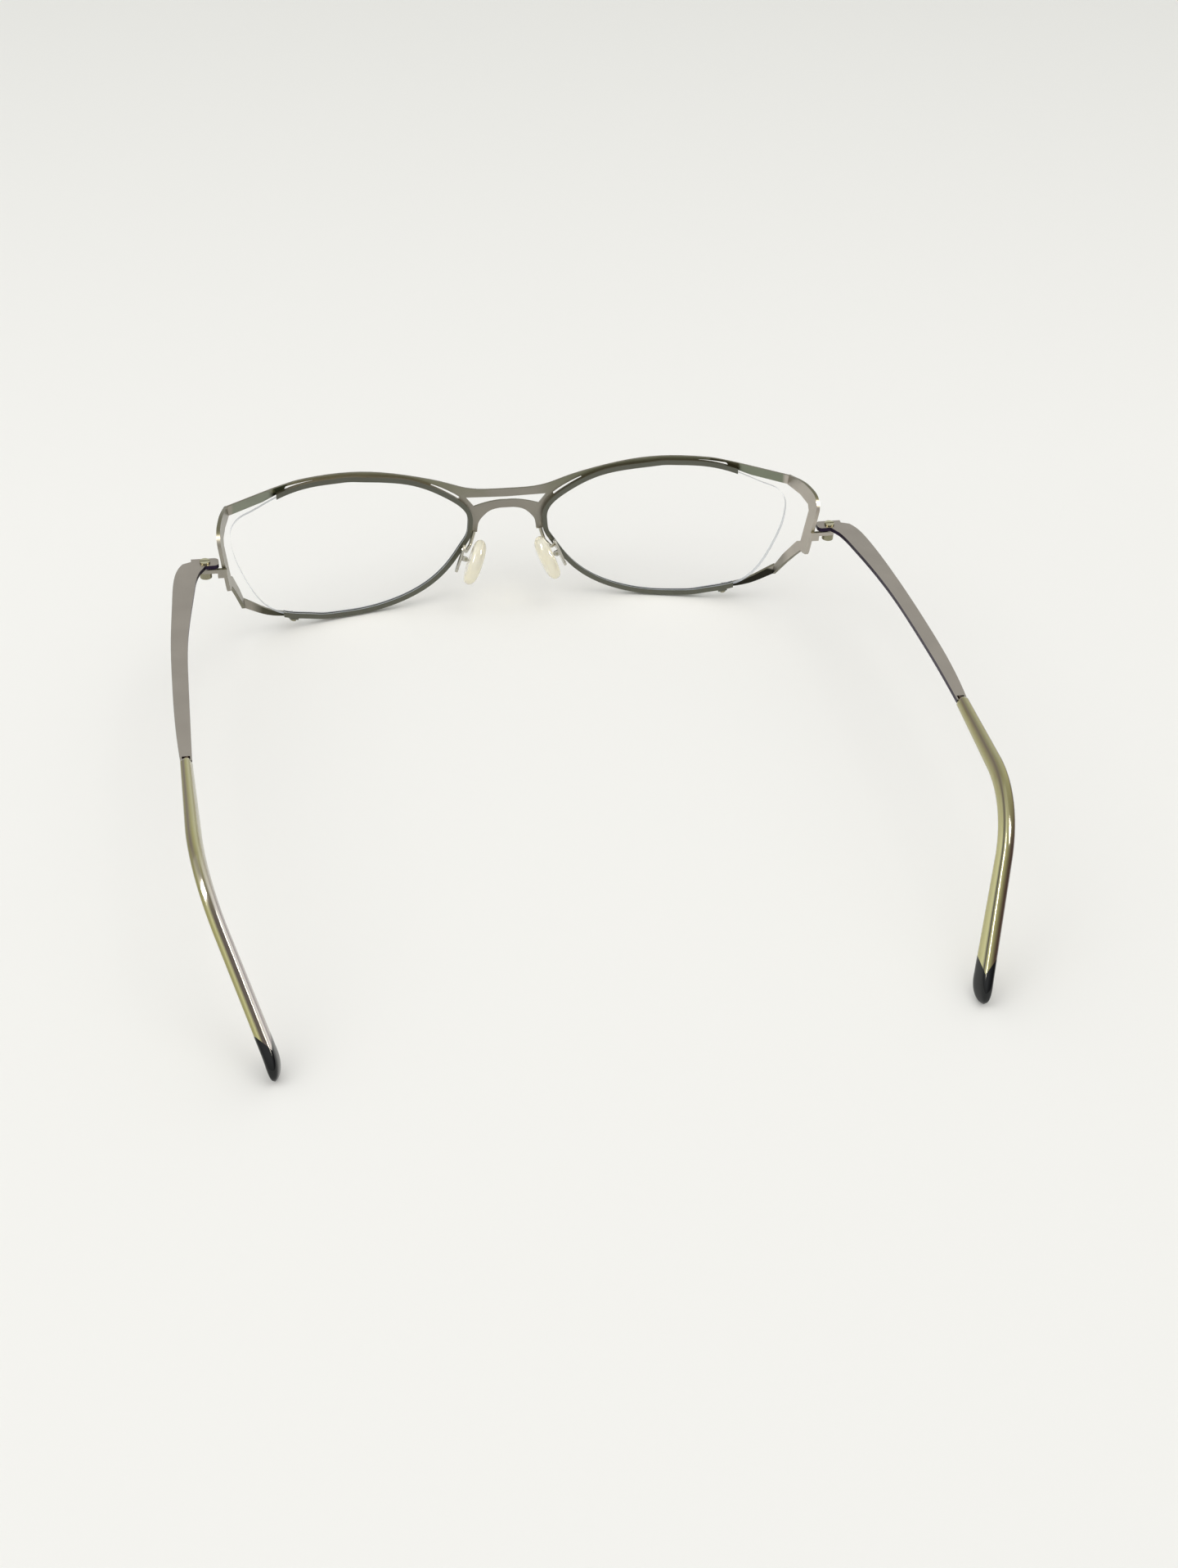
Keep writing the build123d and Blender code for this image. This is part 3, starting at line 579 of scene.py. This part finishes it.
# Zones: middle and half size across and up in mm, softness in mm, and a tone
# Painted shade and light on the front; the first two zones darken the middle of the brow
FRONT_TONE_AND_PAINTED_LIGHT_ZONES = [
    ((32, 0, 32), (19, 1, 3.2), 6, "#7b7c69"),
    ((-30, 0, 32), (21, 1, 3.2), 6, "#82826f"),
    ((58.2, 0, 29), (4.9, 1, 6), 0.4, "#7c8272"),
    ((-58.2, 0, 29), (4.9, 1, 6), 0.4, "#888d80"),
    ((56.2, 0, 3), (5.4, 1, 6), 0.4, "#2b2a24"),
    ((-55.0, 0, 3), (2.6, 1, 5), 2.5, "#4d4c40"),
    ((50.2, 0, 32), (3.0, 1, 5), 0.5, "#4a4736"),
    ((-52.0, 0, 32), (1.4, 1, 5), 0.5, "#3c4232"),
    ((68.5, 0, 20), (5.4, 1, 20), 0.6, "#b3ada4"),
    ((-68.5, 0, 20), (5.4, 1, 20), 0.6, "#9a968c"),
]
# Painted shade along the top of each eyewire, under the brow bar
RIM_PAINTED_SHADE_ZONES = [
    ((34, 0, 31), (28, 1, 6), 9, "#544d3a"),
    ((-34, 0, 31), (28, 1, 6), 9, "#776e60"),
]

# The second tone of each steel is its edge tone, painted shade on the cut edges
front_steel = satin_steel(
    "warm_grey_plated_front", ("#938f86", "#6f6c58"), FRONT_UP, EDGE_ALONG, zones=FRONT_TONE_AND_PAINTED_LIGHT_ZONES
)
temple_steel = satin_steel(
    "warm_grey_plated_temple", ("#99938a", "#2c2436"), UPRIGHT, EDGE_ASIDE
)
rim_steel = satin_steel(
    "grey_plated_rim_and_painted_shade", ("#8d9087", "#64655c"), FRONT_OUT, EDGE_ALONG, zones=RIM_PAINTED_SHADE_ZONES
)
wire_steel = satin_steel(
    "bright_drawn_wire", ("#b9b6aa", "#b9b6aa"), UPRIGHT, EDGE_ASIDE, BRIGHT_ROUGHNESS
)
screw_steel = satin_steel(
    "turned_screw_steel", ("#b4b196", "#8f8c76"), UPRIGHT, EDGE_ASIDE, TURNED_ROUGHNESS
)
core_steel = satin_steel(
    "dark_core_wire", ("#5a4a3a", "#5a4a3a"), UPRIGHT, EDGE_ASIDE, DRAWN_ROUGHNESS
)
dress(front_steel, "front_sheet", *both("hinge_bracket"))
dress(temple_steel, *both("temple_plate"))
dress(rim_steel, *both("eyewire"), *both("rim_lock_lug"))
dress(wire_steel, *both("pad_arm"), *both("pad_box"))
dress(screw_steel, *both("hinge_screw"), *both("hinge_nut"))
dress(screw_steel, *both("pad_screw"), *both("rim_lock_screw"))
dress(core_steel, *both("temple_core"))

# %% [markdown]
# ## Moulded parts
# The temple tips are cellulose acetate: translucent, olive, with a polished
# skin, so the flat core wire shows through as a dark line between lighter and
# darker stripes. The last centimetre is black acetate, joined in a V across
# the bar. The real bar is cut from laminated sheet, shot through with the
# core, bent warm and tumbled until every corner is round. The stripes are
# drawn in the colour, where the eye sees them in the picture, with fourteen
# plain tones for both tips. Not all of them are the acetate's own: the glint
# and the silver stripe on the left tip are painted highlights, and the maroon
# stripe on the right tip, the plum stripe on the left tip and the thin core
# shadow line are painted shade. A stripe's place runs from 0 to 1 across two
# neighbouring sides of the bar, over the corner between them.

# %% Stripes in the acetate
BEND_FROM_END = (44 * MM, 30 * MM)
PALE_OLIVE = "#b8b484"
LIGHT_OLIVE = "#a8a25c"
BRIGHT_OLIVE = "#ccc888"
MID_OLIVE = "#948e4c"
MOSS = "#7c7638"
DULL_OLIVE = "#9c9460"
CORE_BROWN = "#60503a"
DEEP_CORE = "#4c3a26"
# Painted shade: the thin dark line beside the core
CORE_SHADOW = "#201618"
# Painted shade: the darker side of the right tip
MAROON_PAINTED_SHADE = "#4a2622"
# Painted highlight: the white glint on the left tip
EDGE_GLINT = "#fff8f0"
# Painted shade: a dark line on the left tip
PLUM_PAINTED_SHADE = "#6c4c50"
TAUPE = "#8c7c6c"
# Painted highlight: the pale edge of the left tip
SILVER_PAINTED_HIGHLIGHT = "#c4bcb4"

# Stops: a place round the bar and a tone. The core shadow, maroon and plum stops paint shade,
# and the glint and silver stops paint highlights.
BLADE_STRIPES = {
    "right": [
        (0.00, PALE_OLIVE), (0.22, MID_OLIVE), (0.42, CORE_BROWN), (0.58, MOSS),
        (0.80, LIGHT_OLIVE), (0.90, MAROON_PAINTED_SHADE),
    ],
    "left": [
        (0.00, LIGHT_OLIVE), (0.10, MOSS), (0.22, CORE_BROWN), (0.34, MID_OLIVE),
        (0.47, PALE_OLIVE), (0.60, DULL_OLIVE),
    ],
}
DROP_STRIPES = {
    "right": [
        (0.00, PALE_OLIVE), (0.14, LIGHT_OLIVE), (0.32, BRIGHT_OLIVE), (0.41, CORE_SHADOW),
        (0.50, BRIGHT_OLIVE), (0.60, MID_OLIVE), (0.77, DEEP_CORE), (1.00, MAROON_PAINTED_SHADE),
    ],
    "left": [
        (0.00, LIGHT_OLIVE), (0.12, MID_OLIVE), (0.20, BRIGHT_OLIVE), (0.29, DEEP_CORE),
        (0.40, DEEP_CORE), (0.50, EDGE_GLINT), (0.55, EDGE_GLINT), (0.64, PLUM_PAINTED_SHADE),
        (0.82, TAUPE), (1.00, SILVER_PAINTED_HIGHLIGHT),
    ],
}


def striped_tone(tree, round_bar, to_end, side):
    """The olive stripes, with their painted highlight and shade: one set on the blade, another
    below the bend.
    """
    tones = []
    for stops in (BLADE_STRIPES[side], DROP_STRIPES[side]):
        bands = add_node(tree, "ShaderNodeValToRGB", links={"Fac": round_bar})
        ramp = bands.color_ramp
        ramp.elements.remove(ramp.elements[1])
        ramp.elements[0].position = stops[0][0]
        ramp.elements[0].color = colour(stops[0][1])
        for spot, tone in stops[1:]:
            ramp.elements.new(spot).color = colour(tone)
        tones.append(bands.outputs["Color"])
    below_bend = add_node(
        tree,
        "ShaderNodeMapRange",
        {"From Min": BEND_FROM_END[0], "From Max": BEND_FROM_END[1]},
        {"Value": to_end},
    )
    olive_tone = add_node(
        tree,
        "ShaderNodeMix",
        {"data_type": "RGBA"},
        {0: below_bend.outputs[0], 6: tones[0], 7: tones[1]},
    )
    return olive_tone.outputs[2]


# %% [markdown]
# The bar's mesh carries an attribute that tells, at each point, its place
# across the bar, its place in the bar's height and its distance from the end.
# The first two give the place round the bar, and with the third they draw the
# V of the black cap. Black acetate lets no light through, and its skin is
# made less glossy so that it stays black under a white ceiling.

# %% Acetate for the tips
CAP_LENGTH = 9.6 * MM
V_DEPTH = 4.2 * MM
CAP_BLACK = "#020608"
BAR_MIDDLE = 0.5
ROUND_SHARE = 0.25
# Coat, gloss and clearness, each on olive and on black
SKIN_SHARES = {
    "Coat Weight": (1.0, 0.3),
    "Specular IOR Level": (0.5, 0.25),
    "Transmission Weight": (0.10, 0.0),
}


def tip_acetate(name, side):
    """Olive acetate with its core line, its painted highlight and shade stripes, and its black
    end.
    """
    material, tree = new_material(name)
    bar_place = add_node(tree, "ShaderNodeAttribute", {"attribute_name": "bar_place"})
    bar_parts = add_node(
        tree, "ShaderNodeSeparateXYZ", links={0: bar_place.outputs["Vector"]}
    )
    slope = ROUND_SHARE if side == "right" else -ROUND_SHARE
    from_middle = add_node(
        tree,
        "ShaderNodeMath",
        {"operation": "MULTIPLY_ADD", 1: slope, 2: BAR_MIDDLE},
        {0: bar_parts.outputs["Y"]},
    )
    round_bar = add_node(
        tree,
        "ShaderNodeMath",
        {"operation": "MULTIPLY_ADD", 1: ROUND_SHARE},
        {0: bar_parts.outputs["X"], 2: from_middle.outputs[0]},
    )
    off_centre = add_node(
        tree,
        "ShaderNodeMath",
        {"operation": "SUBTRACT", 1: BAR_MIDDLE},
        {0: round_bar.outputs[0]},
    )
    aside = add_node(
        tree, "ShaderNodeMath", {"operation": "ABSOLUTE"}, {0: off_centre.outputs[0]}
    )
    v_line = add_node(
        tree,
        "ShaderNodeMath",
        {"operation": "MULTIPLY_ADD", 1: 2 * V_DEPTH, 2: CAP_LENGTH - V_DEPTH},
        {0: aside.outputs[0]},
    )
    is_cap = add_node(
        tree,
        "ShaderNodeMath",
        {"operation": "LESS_THAN"},
        {0: bar_parts.outputs["Z"], 1: v_line.outputs[0]},
    )
    tone = add_node(
        tree,
        "ShaderNodeMix",
        {"data_type": "RGBA", 7: colour(CAP_BLACK)},
        {
            0: is_cap.outputs[0],
            6: striped_tone(tree, round_bar.outputs[0], bar_parts.outputs["Z"], side),
        },
    )
    skin_links = {"Base Color": tone.outputs[2]}
    for socket, (on_olive, on_black) in SKIN_SHARES.items():
        share_here = add_node(
            tree,
            "ShaderNodeMapRange",
            {"To Min": on_olive, "To Max": on_black},
            {"Value": is_cap.outputs[0]},
        )
        skin_links[socket] = share_here.outputs[0]
    skin = add_node(
        tree,
        "ShaderNodeBsdfPrincipled",
        {"Roughness": 0.14, "IOR": 1.48, "Coat Roughness": 0.03},
        skin_links,
    )
    finish_material(tree, skin)
    print(name, "nodes", len(tree.nodes))
    return material


olive = {
    side: tip_acetate(f"olive_and_black_acetate_{side}", side) for side in ("right", "left")
}

# %% [markdown]
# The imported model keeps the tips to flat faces, so they are drawn again here,
# with round corners, along the same bent path. The node group wraps a tube of
# rings round the path. This first part makes the tube and turns each round
# ring into a rectangle with round corners: a power below 1 pushes the points
# of a circle outwards.

# %% Bar round a path: the section
RINGS = 180
RING_POINTS = 36
TUBE_HALF = 0.5
CORNER_POWER = 0.62

bar_group, start = new_group(
    "bar_round_path",
    [
        ("Side", "NodeSocketVector"),
        ("Start Ratio", "NodeSocketFloat"),
        ("Bend Ratio", "NodeSocketFloat"),
        ("End Ratio", "NodeSocketFloat"),
        ("Bend Share", "NodeSocketFloat"),
        ("Material", "NodeSocketMaterial"),
    ],
)
tube = add_node(
    bar_group,
    "GeometryNodeMeshCylinder",
    {
        "Vertices": RING_POINTS,
        "Side Segments": RINGS,
        "Radius": 1.0,
        "Depth": 2 * TUBE_HALF,
    },
)
spot = add_node(bar_group, "GeometryNodeInputPosition")
spot_parts = add_node(bar_group, "ShaderNodeSeparateXYZ", links={0: spot.outputs[0]})
rounded = []
for axis in ("X", "Y"):
    span = add_node(
        bar_group, "ShaderNodeMath", {"operation": "ABSOLUTE"}, {0: spot_parts.outputs[axis]}
    )
    bulge = add_node(
        bar_group,
        "ShaderNodeMath",
        {"operation": "POWER", 1: CORNER_POWER},
        {0: span.outputs[0]},
    )
    sign = add_node(
        bar_group, "ShaderNodeMath", {"operation": "SIGN"}, {0: spot_parts.outputs[axis]}
    )
    signed = add_node(
        bar_group,
        "ShaderNodeMath",
        {"operation": "MULTIPLY"},
        {0: bulge.outputs[0], 1: sign.outputs[0]},
    )
    rounded.append(signed.outputs[0])
print("section points", RING_POINTS)

# %% [markdown]
# The second part looks up, for each ring, the place, the direction and the
# radius of the path at the ring's share of its length. The radius is half the
# bar's width, and a ratio that changes at the bend and again towards the end
# gives its height.

# %% Bar round a path: size along it
share = add_node(
    bar_group,
    "ShaderNodeMath",
    {"operation": "ADD", "use_clamp": True, 1: TUBE_HALF},
    {0: spot_parts.outputs["Z"]},
)
half_width = add_node(bar_group, "GeometryNodeInputRadius")
at_path = add_node(
    bar_group,
    "GeometryNodeSampleCurve",
    {"mode": "FACTOR", "data_type": "FLOAT"},
    {
        "Curves": start.outputs["Path"],
        "Value": half_width.outputs[0],
        "Factor": share.outputs[0],
    },
)
ratio_in = add_node(
    bar_group,
    "ShaderNodeMapRange",
    links={
        "Value": share.outputs[0],
        "From Max": start.outputs["Bend Share"],
        "To Min": start.outputs["Start Ratio"],
        "To Max": start.outputs["Bend Ratio"],
    },
)
ratio = add_node(
    bar_group,
    "ShaderNodeMapRange",
    links={
        "Value": share.outputs[0],
        "From Min": start.outputs["Bend Share"],
        "To Min": ratio_in.outputs[0],
        "To Max": start.outputs["End Ratio"],
    },
)
wide = add_node(
    bar_group,
    "ShaderNodeMath",
    {"operation": "MULTIPLY"},
    {0: rounded[0], 1: at_path.outputs["Value"]},
)
tall_share = add_node(
    bar_group,
    "ShaderNodeMath",
    {"operation": "MULTIPLY"},
    {0: rounded[1], 1: at_path.outputs["Value"]},
)
tall = add_node(
    bar_group,
    "ShaderNodeMath",
    {"operation": "MULTIPLY"},
    {0: tall_share.outputs[0], 1: ratio.outputs[0]},
)
print("rings", RINGS)

# %% [markdown]
# The last part moves each point to its place: the path's own place, plus the
# width along the Side input and the height square to it and to the path. It
# also stores the attribute that the acetate is drawn by.

# %% Bar round a path: placing and notes
upward = add_node(
    bar_group,
    "ShaderNodeVectorMath",
    {"operation": "CROSS_PRODUCT"},
    {0: at_path.outputs["Tangent"], 1: start.outputs["Side"]},
)
shift_wide = add_node(
    bar_group,
    "ShaderNodeVectorMath",
    {"operation": "SCALE"},
    {0: start.outputs["Side"], "Scale": wide.outputs[0]},
)
shift_tall = add_node(
    bar_group,
    "ShaderNodeVectorMath",
    {"operation": "SCALE"},
    {0: upward.outputs[0], "Scale": tall.outputs[0]},
)
on_ring = add_node(
    bar_group,
    "ShaderNodeVectorMath",
    {"operation": "ADD"},
    {0: shift_wide.outputs[0], 1: shift_tall.outputs[0]},
)
moved = add_node(
    bar_group,
    "ShaderNodeVectorMath",
    {"operation": "ADD"},
    {0: at_path.outputs["Position"], 1: on_ring.outputs[0]},
)
length = add_node(bar_group, "GeometryNodeCurveLength", links={0: start.outputs["Path"]})
left_share = add_node(
    bar_group,
    "ShaderNodeMath",
    {"operation": "SUBTRACT", 0: 1.0},
    {1: share.outputs[0]},
)
to_end = add_node(
    bar_group,
    "ShaderNodeMath",
    {"operation": "MULTIPLY"},
    {0: left_share.outputs[0], 1: length.outputs[0]},
)
note = add_node(
    bar_group,
    "ShaderNodeCombineXYZ",
    links={"X": rounded[0], "Y": rounded[1], "Z": to_end.outputs[0]},
)
noted = add_node(
    bar_group,
    "GeometryNodeStoreNamedAttribute",
    {"data_type": "FLOAT_VECTOR", "domain": "POINT", "Name": "bar_place"},
    {"Geometry": tube.outputs["Mesh"], "Value": note.outputs[0]},
)
wrapped = add_node(
    bar_group,
    "GeometryNodeSetPosition",
    links={"Geometry": noted.outputs[0], "Position": moved.outputs[0]},
)
smooth = add_node(
    bar_group, "GeometryNodeSetShadeSmooth", links={"Geometry": wrapped.outputs[0]}
)
finish_group(bar_group, start, smooth.outputs[0])
print("bar group nodes", len(bar_group.nodes))

# %% [markdown]
# The path runs straight from the end of the metal temple, round the bend and
# straight down to the foot, with more stops near the foot, where the bar
# closes.

# %% Path of a tip
BLADE_END = Vector((76.05, -70.45, 28.495)) * MM
BEND_CORNER = Vector((75.36, -101.0, 27.8)) * MM
FOOT = Vector((64.25, -126.3, 0.95)) * MM
BEND_RADIUS = 26.0 * MM
STEPS = 40
FOOT_CROWDING = 0.5

into = (BEND_CORNER - BLADE_END).normalized()
down = (FOOT - BEND_CORNER).normalized()
bend_side = into.cross(down).normalized()
bend_angle = into.angle(down)
bend_run = BEND_RADIUS * math.tan(bend_angle / 2)
bend_start = BEND_CORNER - into * bend_run
bend_stop = BEND_CORNER + down * bend_run
bend_middle = bend_start + bend_side.cross(into) * BEND_RADIUS
tip_stops = [BLADE_END.lerp(bend_start, step / STEPS) for step in range(STEPS)]
for step in range(STEPS):
    turned = Matrix.Rotation(bend_angle * step / STEPS, 3, bend_side)
    tip_stops.append(bend_middle + turned @ (bend_start - bend_middle))
tip_stops += [
    bend_stop.lerp(FOOT, (step / STEPS) ** FOOT_CROWDING) for step in range(STEPS + 1)
]
print("bend in degrees", round(math.degrees(bend_angle), 1))

# %% [markdown]
# The bar widens a little up to the bend. Its last few millimetres close in a
# rounded point that leans to the outer side, as the tumbled end of a real tip
# does.

# %% Width along a tip
WIDTHS = (2.0 * MM, 2.5 * MM)
END_ROUND = 5.0 * MM
END_POWER = 2.6
END_LEAN = 0.9 * MM
SMALLEST_SHARE = 0.06

tip_radii = []
for index, stop in enumerate(tip_stops):
    grown = min(1, (stop - BLADE_END).length / (bend_start - BLADE_END).length)
    half = (WIDTHS[0] + grown * (WIDTHS[1] - WIDTHS[0])) / 2
    left = max(0, 1 - (FOOT - stop).length / END_ROUND)
    closing = math.sqrt(max(0, 1 - left**END_POWER))
    tip_radii.append(max(half * closing, SMALLEST_SHARE * half))
    tip_stops[index] = stop + bend_side * (left**2 * END_LEAN)
print("widest half in mm", round(max(tip_radii) / MM, 2))

# %% [markdown]
# The left tip is the right one mirrored. Each bar rides on its temple and
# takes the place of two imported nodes, the tip and its black end.

# %% Temple tips
HEIGHTS = (2.5 * MM, 3.3 * MM, 4.8 * MM)
BEND_SHARE = 0.55

for hand, side in ((1, "right"), (-1, "left")):
    flip = Matrix.Diagonal((hand, 1, 1))
    path = path_object(
        f"tip_path_{side}", [flip @ stop + hinge_row for stop in tip_stops], tip_radii
    )
    values = {
        "Side": hand * (flip @ bend_side),
        "Start Ratio": HEIGHTS[0] / WIDTHS[0],
        "Bend Ratio": HEIGHTS[1] / WIDTHS[1],
        "End Ratio": HEIGHTS[2] / WIDTHS[1],
        "Bend Share": BEND_SHARE,
        "Material": olive[side],
    }
    bar = run_group(bar_group, path, values, f"tip_bar_{side}")
    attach(bar, f"temple_{side}")
    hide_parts(f"temple_tip_{side}", f"tip_end_cap_{side}")

# %% [markdown]
# The hinge washers are natural nylon, a plain off-white plastic with a dull
# skin.

# %% Nylon
nylon, tree = new_material("natural_nylon")
nylon_shader = add_node(
    tree, "ShaderNodeBsdfPrincipled", {"Base Color": colour("#cfccc0"), "Roughness": 0.4}
)
finish_material(tree, nylon_shader)
dress(nylon, *both("hinge_washer"))

# %% [markdown]
# ## Lenses
# The lenses are clear plastic sheet about 1.2 mm thick. Their polished faces
# are seen straight through and mirror only a little of the room, more where
# they turn away. The ground edge is different: it is a pale frosted band, and
# it is what shows the shape of the lens where no rim holds it. The surface's
# own direction tells the faces from the edge.

# %% Lens sheet
LENS_SHEEN = 0.25
LENS_IOR = 1.49
GROUND_LIMITS = (0.8, 0.6)

lens_sheet, tree = new_material("clear_lens_sheet")
place = add_node(tree, "ShaderNodeTexCoord")
ground = cut_edge(tree, place, FRONT_OUT, GROUND_LIMITS)
through = add_node(tree, "ShaderNodeBsdfTransparent", {"Color": colour("#ffffff")})
mirror = add_node(
    tree, "ShaderNodeBsdfGlossy", {"Color": colour("#ffffff"), "Roughness": 0.03}
)
glance = add_node(tree, "ShaderNodeFresnel", {"IOR": LENS_IOR})
sheen = add_node(
    tree, "ShaderNodeMath", {"operation": "MULTIPLY", 1: LENS_SHEEN}, {0: glance.outputs[0]}
)
polished = add_node(
    tree,
    "ShaderNodeMixShader",
    links={0: sheen.outputs[0], 1: through.outputs[0], 2: mirror.outputs[0]},
)
frost = add_node(
    tree,
    "ShaderNodeBsdfPrincipled",
    {"Base Color": colour("#bcc1c7"), "Roughness": 0.4, "Alpha": 0.7},
)
lens_shader = add_node(
    tree,
    "ShaderNodeMixShader",
    links={0: ground, 1: polished.outputs[0], 2: frost.outputs[0]},
)
finish_material(tree, lens_shader)
dress(lens_sheet, *both("lens"))

# %% [markdown]
# ## Nose pads
# The pads are injection moulded from clear vinyl, which is faintly cream. A
# soft, slightly uneven skin breaks up what is seen in them. Its unevenness is
# drawn a little over 2 mm wide, and shows as small sparkles.

# %% Clear vinyl
RIPPLES_PER_MM = 0.42
RIPPLE_HEIGHT = 0.4 * MM

vinyl, tree = new_material("clear_cream_vinyl")
place = add_node(tree, "ShaderNodeTexCoord")
haze = add_node(
    tree,
    "ShaderNodeTexNoise",
    {"Scale": RIPPLES_PER_MM / MM, "Detail": 2.0},
    {"Vector": place.outputs["Object"]},
)
cream = add_node(
    tree,
    "ShaderNodeMix",
    {"data_type": "RGBA", 6: colour("#fffdf2"), 7: colour("#f6f0d6")},
    {0: haze.outputs["Fac"]},
)
ripple = add_node(
    tree,
    "ShaderNodeBump",
    {"Strength": 0.5, "Distance": RIPPLE_HEIGHT},
    {"Height": haze.outputs["Fac"]},
)
vinyl_shader = add_node(
    tree,
    "ShaderNodeBsdfPrincipled",
    {"Roughness": 0.10, "IOR": 1.40, "Transmission Weight": 0.45, "Coat Weight": 0.8},
    {"Base Color": cream.outputs[2], "Normal": ripple.outputs[0]},
)
finish_material(tree, vinyl_shader)
print(vinyl.name, "nodes", len(tree.nodes))

# %% [markdown]
# Each pad faces the side of the nose: it is turned a little to the back,
# dipped below the level and leaned over. Those three angles give the
# directions that the cushion is drawn in.

# %% Directions of a pad
PAD_TURN = math.radians(10.9)
PAD_DIP = math.radians(19.3)
PAD_LEAN = math.radians(30.5)

pad_facing = Vector(
    (
        -math.cos(PAD_DIP) * math.cos(PAD_TURN),
        -math.cos(PAD_DIP) * math.sin(PAD_TURN),
        -math.sin(PAD_DIP),
    )
)
pad_level = Vector((-math.sin(PAD_TURN), math.cos(PAD_TURN), 0))
pad_rise = pad_level.cross(pad_facing)
pad_up = pad_rise * math.cos(PAD_LEAN) + pad_level * math.sin(PAD_LEAN)
pad_turn = Matrix((pad_up.cross(pad_facing), pad_up, pad_facing)).transposed()
print("pad faces", [round(c, 2) for c in pad_facing])

# %% [markdown]
# A real cushion has a flat back, a domed front and a full round rim, and is
# moulded over the stem that the pad screw goes through. It is drawn here as
# rings on rising levels, a little fuller at its lower end. Its stem is a short
# tongue, sunk into the cushion.

# %% Shape of a cushion
PAD_HALF = Vector((3.25, 5.5, 1.65)) * MM
STEM_HALF = Vector((0.5, 0.5, 0.85)) * MM
STEM_OUT_SHARE = 0.6
PAD_POINTS = 24
LOWER_FULLNESS = 0.10
# Size and level of each ring, from the flat back round to the domed front
PAD_LEVELS = [
    (0.30, -0.86), (0.66, -0.98), (0.90, -0.80), (1.00, -0.30), (0.985, 0.22),
    (0.86, 0.68), (0.62, 0.93), (0.28, 1.00),
]


def pad_cushion(name):
    """A cushion and its stem as one mesh, in the pad's own directions."""
    shape = bmesh.new()
    rings = []
    for size, level in PAD_LEVELS:
        ring = []
        for stop in range(PAD_POINTS):
            angle = 2 * math.pi * stop / PAD_POINTS
            up = math.sin(angle)
            fuller = 1 - LOWER_FULLNESS * up
            corner = (
                size * fuller * math.cos(angle) * PAD_HALF.x,
                size * up * PAD_HALF.y,
                level * PAD_HALF.z,
            )
            ring.append(shape.verts.new(corner))
        rings.append(ring)
    for low, high in zip(rings, rings[1:]):
        for stop in range(PAD_POINTS):
            after = (stop + 1) % PAD_POINTS
            shape.faces.new((low[stop], low[after], high[after], high[stop]))
    shape.faces.new(list(reversed(rings[0])))
    shape.faces.new(rings[-1])
    stem = bmesh.ops.create_cube(shape, size=2)["verts"]
    for corner in stem:
        corner.co = Vector(c * half for c, half in zip(corner.co, STEM_HALF))
        corner.co.z -= PAD_HALF.z + STEM_HALF.z * STEM_OUT_SHARE
    bmesh.ops.recalc_face_normals(shape, faces=shape.faces)
    mesh = bpy.data.meshes.new(name)
    shape.to_mesh(mesh)
    shape.free()
    for face in mesh.polygons:
        face.use_smooth = True
    return mesh


# %% [markdown]
# Two levels of subdivision round the rings off. The cushion sits a little
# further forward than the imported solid, because it is fuller towards the
# nose, and its back stays where the solid's is.

# %% Pad cushions
PAD_CENTRE = Vector((8.8, 17.85, 12.3)) * MM
PAD_FORWARD = 0.45 * MM
SMOOTHING = 2

for hand, side in ((1, "right"), (-1, "left")):
    cushion = bpy.data.objects.new(f"pad_cushion_{side}", pad_cushion(f"pad_{side}"))
    bpy.context.scene.collection.objects.link(cushion)
    smoothing = cushion.modifiers.new("smoothing", "SUBSURF")
    smoothing.levels = SMOOTHING
    smoothing.render_levels = SMOOTHING
    graph = bpy.context.evaluated_depsgraph_get()
    mesh = bpy.data.meshes.new_from_object(cushion.evaluated_get(graph), depsgraph=graph)
    cushion.modifiers.remove(smoothing)
    cushion_place = hinge_row + PAD_CENTRE + pad_facing * PAD_FORWARD
    mesh.transform(Matrix.Translation(cushion_place) @ pad_turn.to_4x4())
    if hand < 0:
        mesh.transform(Matrix.Diagonal((-1, 1, 1, 1)))
        mesh.flip_normals()
    mesh.materials.clear()
    mesh.materials.append(vinyl)
    cushion.data = mesh
    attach(cushion, f"pad_{side}")
    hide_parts(f"nose_pad_{side}")
    print("cushion faces", len(mesh.polygons))
